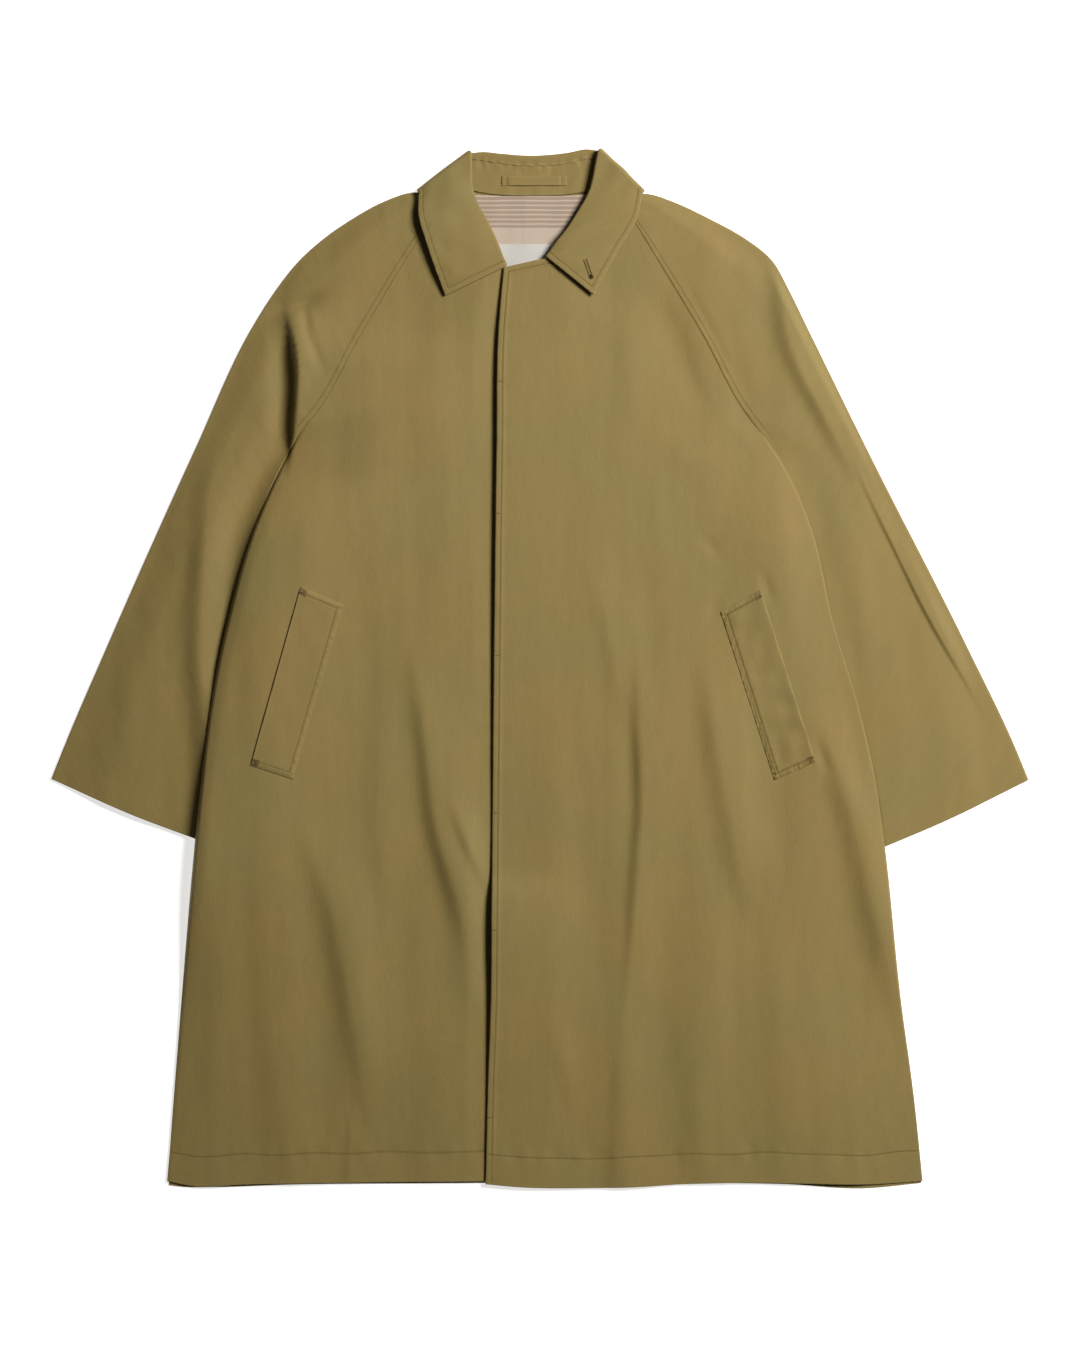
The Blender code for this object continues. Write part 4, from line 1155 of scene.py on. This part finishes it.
def make_collar_leaf(material):
    """Fall edge up to the roll, round it in half a circle and down the lip inside the neck."""
    stations = collar_stations()
    roll, fall, inward = (stations[:, None, k] for k in (0, 1, 3))
    beyond = past_roll(stations)[:, None]
    widths = np.linalg.norm(roll - fall, axis=-1)[:, 0]
    share = spread(widths, 28, EDGE_STEPS, (0.0, 1.0, 2.2, 4.0))[..., None]
    crown = LEAF_CROWN * np.clip(-inward[..., 2:], 0, 1) * 4 * share * (1 - share)
    leaf = fall + (roll - fall) * share - inward * crown
    angle = np.linspace(0, np.pi, 12)[1:, None]
    turn = roll + ROLL_RADIUS * (inward * (1 - np.cos(angle)) + beyond * np.sin(angle))
    down = lip_lengths(stations)[:, None, None] * np.array(LIP_SHARES)[:, None]
    grid = np.concatenate([leaf, turn, turn[:, -1:] - beyond * down], axis=1)
    from_fall, _, from_right, from_left = edge_distances(grid)
    edge = np.minimum.reduce([from_fall, from_right, from_left])
    cut = np.dstack([from_right, from_fall])
    tight = (ripple(cut, "leaf_edge") * bell((edge - 4) / 5)
             + ripple(cut, "leaf") * ease(edge, 6, 20))
    seen = np.clip(-inward[..., 2], 0, 1)
    past_turn = from_fall - from_fall[:, -len(LIP_SHARES) - 1, None]
    within_lip = np.clip(past_turn / LIP, 0, 1)
    hidden = np.clip(inward[..., 2], 0, 1)
    gathered = ripple(cut, "lip") * ease(within_lip, 0.2, 0.9) * hidden
    relief = seen * (stitched(edge, swell=0.14, depth=0.15) + tight) - gathered
    wall = LEAF - (LEAF - LIP_WALL) * ease(within_lip, 0, 1)
    # Painted shade in the groove of the edge stitching, on the seen side.
    made, upper = shell("collar_leaf_cloth", grid, wall, cut, relief, facing=-inward,
                        groove=0.25 * seen * shade(edge))
    seams["edge"].append(upper[EDGE_ROW:-EDGE_ROW, EDGE_ROW])
    for end in (EDGE_ROW, -1 - EDGE_ROW):
        seams["edge"].append(upper[end, EDGE_ROW:leaf.shape[1]])
    sew_buttonhole(upper[-120:, :leaf.shape[1]].reshape(-1, 3))
    return dress(made, material, "collar_leaf")


def make_collar_stand(material):
    """From the leaf's lip down to the neck seam, a little puckered by its seam."""
    stations = collar_stations()[STAND_CUT:-STAND_CUT]
    roll, neck, inward = (stations[:, None, k] for k in (0, 2, 3))
    down = STAND_OVERLAP * lip_lengths(stations)[:, None, None]
    top = roll + (2 * ROLL_RADIUS - STAND_DROP) * inward - past_roll(stations)[:, None] * down
    depths = np.linalg.norm(neck - top, axis=-1)[:, 0]
    share = spread(depths, 16, PLAIN_STEPS, PLAIN_STEPS)[..., None] * STAND_REACH
    grid = top + (neck - top) * share
    from_top, _, along, _ = edge_distances(grid)
    cut = np.dstack([along, from_top])
    pucker = ripple(cut, "stand") + ripple(cut, "stand_top") * bell(from_top / 9)
    middle = grid + inward * pucker[..., None]
    made, _ = shell("collar_stand_cloth", middle, STAND, cut, facing=inward)
    return dress(made, material, "collar_stand")


def four_sided(a, b, c, d, columns, rows, **steps):
    """A cloth plan with straight edges: its top from a to b and its foot from c to d."""
    return cloth_plan(curve([a, b]), curve([c, d]), curve([a, c]), curve([b, d]), columns, rows, **steps)


def strip(top_centre, size, columns, rows):
    """A plain rectangle hanging from the middle of its top edge."""
    x, y = top_centre
    half, drop = size[0] / 2, size[1]
    corners = ((x - half, y), (x + half, y), (x - half, y - drop), (x + half, y - drop))
    return four_sided(*corners, columns, rows, **PLAIN_EDGES)


def make_hanger_loop(material):
    """A tape tacked at its ends to the stand, standing off it between them."""
    plan = strip(LOOP_TOP, LOOP_SIZE, *GRID["hanger_loop"])
    stand_top = BACK_STATION.roll_z + 2 * ROLL_RADIUS - STAND_DROP + STAND / 2
    across = (plan[..., 0] - LOOP_TOP[0]) / (LOOP_SIZE[0] / 2)
    ends = np.abs(across)
    lower = (LOOP_TOP[1] - plan[..., 1]) / LOOP_SIZE[1]
    height = stand_top + LOOP_RISE + (0.2 + 0.8 * lower) * (1 - ease(ends, *LOOP_FREE))
    grid = np.dstack([plan, height])
    tacked = -0.4 * bell((ends - LOOP_TACK) / 0.03)
    made, upper = shell("hanger_loop_tape", grid, LOOP_WALL, cut_along(plan, math.pi / 2), tacked)
    for tack in (-LOOP_TACK, LOOP_TACK):
        seams["edge"].append(upper[2:-2, np.abs(across[0] - tack).argmin()])
    return dress(made, material, "hanger_loop")


def make_lining(material):
    """The back lining in the neck, with the steps of its pleats."""
    right, left, foot_y = LINING_FOOT
    top, foot = curve(NECK_LINING), curve([(right, foot_y), (left, foot_y)])
    sides = (curve([top[0], foot[0]]), curve([top[-1], foot[-1]]))
    plan = cloth_plan(top, foot, *sides, *GRID["lining"], **PLAIN_EDGES)
    across = plan[..., 0]
    steps = sum(0.2 * ease(across, x - 0.8, x + 0.8) * bell((across - x) / 14 * (across > x))
                for x in LINING_PLEATS)
    height = under_base(plan) + LAYER + LINING_RISE + steps + ripple(plan, "lining")
    grid = np.dstack([plan, height])
    made, _ = shell("back_lining", grid, LINING_WALL, cut_along(plan))
    return dress(made, material, "lining")


def make_label(material):
    """The bare label on the lining, a little wavy."""
    plan = strip(LABEL_TOP, LABEL_SIZE, *GRID["label"])
    height = under_base(plan) + LAYER + LABEL_RISE + ripple(plan, "label")
    grid = np.dstack([plan, height])
    made, _ = shell("bare_label", grid, LABEL_WALL, cut_along(plan))
    return dress(made, material, "label")


def make_welt(side, material):
    """A welt made from the front's points, moved out, its opening edge standing off a little."""
    a, b, c, d = WELT[side]
    plan = four_sided(a, b, d, c, *GRID["welt"], ends=(EDGE_STEPS, EDGE_STEPS))
    opening, sewn, top, foot = edge_distances(plan)
    ends = np.minimum(top, foot)
    lift = WELT_LIFT[side] * (1 - ease(opening, 0, 18)) * ease(ends, 2, 40)
    cut = np.dstack([opening, top])
    rope = WELT_PULL[side] * (ripple(cut, "welt_seam") * bell((sewn - 3) / 4)
                              + ripple(cut, "welt_ends") * bell((ends - 3) / 4))
    edge = np.minimum(sewn, ends)
    worked = WELT_PULL[side] * ripple(cut, "welt") * ease(edge, 4, 14)
    pressed = WELT_PRESS * (1 - ease(edge, 0, EDGE_INSET))
    height = front_height(plan, side) + CLOTH / 2 + WELT_WALL / 2 + WELT_GAP + lift - pressed
    grid = np.dstack([plan, height])
    relief = stitched(edge, swell=0.2, depth=0.3) + rope + worked
    # Painted shade in the groove of the welt's stitching; the whole welt is also made a little darker.
    made, upper = shell("pocket_welt_" + side + "_cloth", grid, WELT_WALL, cut, relief,
                        crisp=0.7 * (1 - ease(edge, 2, 4)), groove=0.06 + WELT_PULL[side] * shade(edge))
    seams["edge"].append(upper[EDGE_ROW:-EDGE_ROW, -1 - EDGE_ROW])
    for row in (EDGE_ROW, -1 - EDGE_ROW):
        seams["edge"].append(upper[row, 2:-EDGE_ROW])
    across, down = np.tile((3, 13), 5), np.arange(4, 14)
    seams["tack"].extend((upper[down, across], upper[-1 - down, across]))
    return dress(made, material, "pocket_welt_" + side)


# Sidebar values


def length_value(name, description, default, low=0.05, high=200.0):
    """A length in the sidebar, in metres there and in millimetres here."""
    return bpy.props.FloatProperty(name=name, description=description, default=default * MM,
                                   min=low * MM, max=high * MM, precision=5, subtype="DISTANCE",
                                   unit="LENGTH")


def colour_value(name, description, default):
    """A colour in the sidebar."""
    return bpy.props.FloatVectorProperty(name=name, description=description, default=default,
                                         min=0.0, max=1.0, size=3, subtype="COLOR")


class CoatSizes(bpy.types.PropertyGroup):
    """Sizes of cloth and thread"""

    layer: length_value("Layer", "Thickness of one layer of gabardine", CLOTH)
    folded: length_value("Folded edge", "Thickness of a turned and stitched edge", 2.2)
    stitch: length_value("Stitch", "Length of one stitch", 2.8)
    thread: length_value("Thread", "Thickness of the sewing thread", 0.5)


class CoatColours(bpy.types.PropertyGroup):
    """Colours of cloth, thread and floor"""

    olive: colour_value("Olive", "The gabardine's greener tone", (0.230, 0.175, 0.054))
    brown: colour_value("Brown", "The gabardine's browner tone", (0.250, 0.176, 0.052))
    worn: colour_value("Worn", "Rubbed edges of the gabardine", (0.36, 0.29, 0.15))
    # Painted shade: the dark mixed into stitched grooves and seams, where shade falls.
    seam: colour_value("Seam", "Shade in stitched grooves", (0.078, 0.050, 0.009))
    thread: colour_value("Thread", "Sewing thread", (0.205, 0.150, 0.052))
    # Partly the twist's own colour, partly painted shade: darker than the cloth so that the buttonhole's
    # sides read as the shaded lines round its slit.
    buttonhole: colour_value("Buttonhole", "Thread of buttonhole and tacks", (0.150, 0.100, 0.034))
    # Painted shade: near black, for the shadowed hole of the buttonhole's eye.
    eye: colour_value("Eye", "Open eye of the buttonhole", (0.010, 0.006, 0.002))
    lining: colour_value("Lining", "Ground of the lining", (0.478, 0.390, 0.319))
    stripe: colour_value("Stripe", "Dark stripes of the lining", (0.340, 0.256, 0.197))
    cream: colour_value("Cream", "Fine pale lines of the lining", (0.500, 0.412, 0.335))
    label: colour_value("Label", "Bare woven label", (0.530, 0.520, 0.500))
    floor: colour_value("Floor", "Plain floor", (0.90, 0.90, 0.90))


class CoatStage(bpy.types.PropertyGroup):
    """Light and camera"""

    key: bpy.props.FloatProperty(name="Key", description="Power of the soft key light",
                                 default=86.0, min=0.0, unit="POWER")
    sky: bpy.props.FloatProperty(name="Sky", description="Strength of the light from all round",
                                 default=0.05, min=0.0, max=5.0)
    glow: bpy.props.FloatProperty(name="Glow", description="Light given off by the floor itself",
                                  default=0.75, min=0.0, max=1.0)
    height: length_value("Camera height", "Camera above the floor", 4000.0, 1000.0, 20000.0)
    view: length_value("View", "Length of floor seen from top to bottom", 1417.5, 200.0, 5000.0)


Sizes = namedtuple("Sizes", "layer folded stitch thread")


def coat_sizes():
    """The sidebar's sizes in millimetres."""
    group = bpy.context.scene.coat_sizes
    return Sizes(*(getattr(group, name) / MM for name in Sizes._fields))


# Operators


class COAT_OT_body(bpy.types.Operator):
    """Back and both fronts"""

    bl_idname = "coat.body"
    bl_label = "Back and fronts"

    def execute(self, context):
        material = gabardine(context.scene.coat_colours)
        make_back(material)
        for side in OUTWARD:
            make_front(side, material, coat_sizes())
        return {"FINISHED"}


class COAT_OT_sleeves(bpy.types.Operator):
    """Both halves of both raglan sleeves"""

    bl_idname = "coat.sleeves"
    bl_label = "Sleeves"

    def execute(self, context):
        for side in OUTWARD:
            make_sleeve(side, gabardine(context.scene.coat_colours), coat_sizes())
        return {"FINISHED"}


class COAT_OT_collar(bpy.types.Operator):
    """Collar leaf, stand and hanger loop"""

    bl_idname = "coat.collar"
    bl_label = "Collar"

    def execute(self, context):
        material = gabardine(context.scene.coat_colours)
        make_collar_leaf(material)
        make_collar_stand(material)
        make_hanger_loop(material)
        return {"FINISHED"}


class COAT_OT_neck(bpy.types.Operator):
    """Lining and bare label in the neck"""

    bl_idname = "coat.neck"
    bl_label = "Lining and label"

    def execute(self, context):
        colours = context.scene.coat_colours
        make_lining(striped_lining(colours))
        make_label(woven_tape("label_weave", colours.label))
        return {"FINISHED"}


class COAT_OT_pockets(bpy.types.Operator):
    """Both slanted pocket welts"""

    bl_idname = "coat.pockets"
    bl_label = "Pocket welts"

    def execute(self, context):
        for side in OUTWARD:
            make_welt(side, gabardine(context.scene.coat_colours))
        return {"FINISHED"}


class COAT_OT_stitching(bpy.types.Operator):
    """Stitches along the sewn edges and hems"""

    bl_idname = "coat.stitching"
    bl_label = "Stitching"

    def execute(self, context):
        sizes, colours = coat_sizes(), context.scene.coat_colours
        thread = sewing_thread("gabardine_thread", colours.thread)
        strong = sewing_thread("buttonhole_twist", colours.buttonhole)
        # A near-black thread that paints the shade in the buttonhole's eye.
        dark = sewing_thread("eye_shade", colours.eye)
        for name, kind, material, pitch, thick, filled in (
            ("edge_stitching", "edge", thread, sizes.stitch, sizes.thread, STITCH_FILL),
            ("hem_stitching", "hem", thread, sizes.stitch, sizes.thread, STITCH_FILL),
            ("tack_stitching", "tack", strong, 0.8, 0.7, STITCH_FILL),
            ("buttonhole_thread", "buttonhole", strong, 5.0, 0.85, STITCH_FILL),
            ("buttonhole_slit", "slit", thread, 50.0, 0.8, 1.0),
            ("buttonhole_eye", "eye", dark, 50.0, 2.4, 1.0),
        ):
            if not seams[kind]:
                raise RuntimeError("make the cloth before its stitching")
            dress(thread_mesh(name, seams[kind], pitch, thick, filled), material)
        return {"FINISHED"}


class COAT_OT_stage(bpy.types.Operator):
    """Pale floor, soft light and a camera looking straight down"""

    bl_idname = "coat.stage"
    bl_label = "Stage"

    def execute(self, context):
        scene, stage = context.scene, context.scene.coat_stage
        scene.view_settings.view_transform = "Standard"
        corners = [(x * FLOOR_HALF, y * FLOOR_HALF, -FLOOR_DROP)
                   for x, y in ((-1, -1), (1, -1), (1, 1), (-1, 1))]
        floor = put_mesh("floor", np.array(corners), np.array([[0, 1, 2, 3]]))
        tone = scene.coat_colours.floor
        floor.data.materials.append(Finish("floor").done(
            Base_Color=tone, Roughness=0.9, Emission_Color=tone, Emission_Strength=stage.glow))

        world = bpy.data.worlds.new("studio")
        world.use_nodes = True
        sky = world.node_tree.nodes["Background"]
        sky.inputs["Color"].default_value = SKY_TINT
        sky.inputs["Strength"].default_value = stage.sky
        scene.world = world

        key = bpy.data.lights.new("key", "AREA")
        key.energy = stage.key
        key.shape = "DISK"
        key.size = LAMP_SIZE
        key.spread = math.radians(LAMP_SPREAD)
        key.color = LAMP_TINT
        lamp = bpy.data.objects.new("key", key)
        lamp.location = LAMP_PLACE
        aim = Vector(LAMP_AIM) - lamp.location
        lamp.rotation_euler = aim.to_track_quat("-Z", "Y").to_euler()
        scene.collection.objects.link(lamp)

        camera = bpy.data.objects.new("camera", bpy.data.cameras.new("camera"))
        camera.data.lens = camera.data.sensor_width * stage.height / stage.view
        camera.data.clip_end = 50.0
        camera.location = (0.0, VIEW_MIDDLE * MM, stage.height)
        scene.collection.objects.link(camera)
        scene.camera = camera
        return {"FINISHED"}


class COAT_PT_parts(bpy.types.Panel):
    """Sidebar list of the coat's parts and values"""

    bl_idname = "COAT_PT_parts"
    bl_label = "Raglan coat"
    bl_space_type = "VIEW_3D"
    bl_region_type = "UI"
    bl_category = "Coat"

    def draw(self, context):
        for operator in OPERATORS:
            self.layout.operator(operator.bl_idname)
        for name in GROUPS:
            group, box = getattr(context.scene, name), self.layout.box()
            for value in group.__annotations__:
                box.prop(group, value)


OPERATORS = (COAT_OT_body, COAT_OT_sleeves, COAT_OT_collar, COAT_OT_neck, COAT_OT_pockets,
             COAT_OT_stitching, COAT_OT_stage)
GROUPS = {"coat_sizes": CoatSizes, "coat_colours": CoatColours, "coat_stage": CoatStage}


def register():
    """Make the classes known to Blender and give the scene their values."""
    for kind in (*GROUPS.values(), *OPERATORS, COAT_PT_parts):
        bpy.utils.register_class(kind)
    for name, group in GROUPS.items():
        setattr(bpy.types.Scene, name, bpy.props.PointerProperty(type=group))


def unregister():
    """Take away what register added."""
    for name in GROUPS:
        delattr(bpy.types.Scene, name)
    for kind in (COAT_PT_parts, *reversed(OPERATORS), *reversed(GROUPS.values())):
        bpy.utils.unregister_class(kind)


def main():
    """Make everything in order."""
    register()
    bpy.ops.coat.body()
    bpy.ops.coat.sleeves()
    bpy.ops.coat.collar()
    bpy.ops.coat.neck()
    bpy.ops.coat.pockets()
    bpy.ops.coat.stitching()
    bpy.ops.coat.stage()


if __name__ == "__main__":
    main()
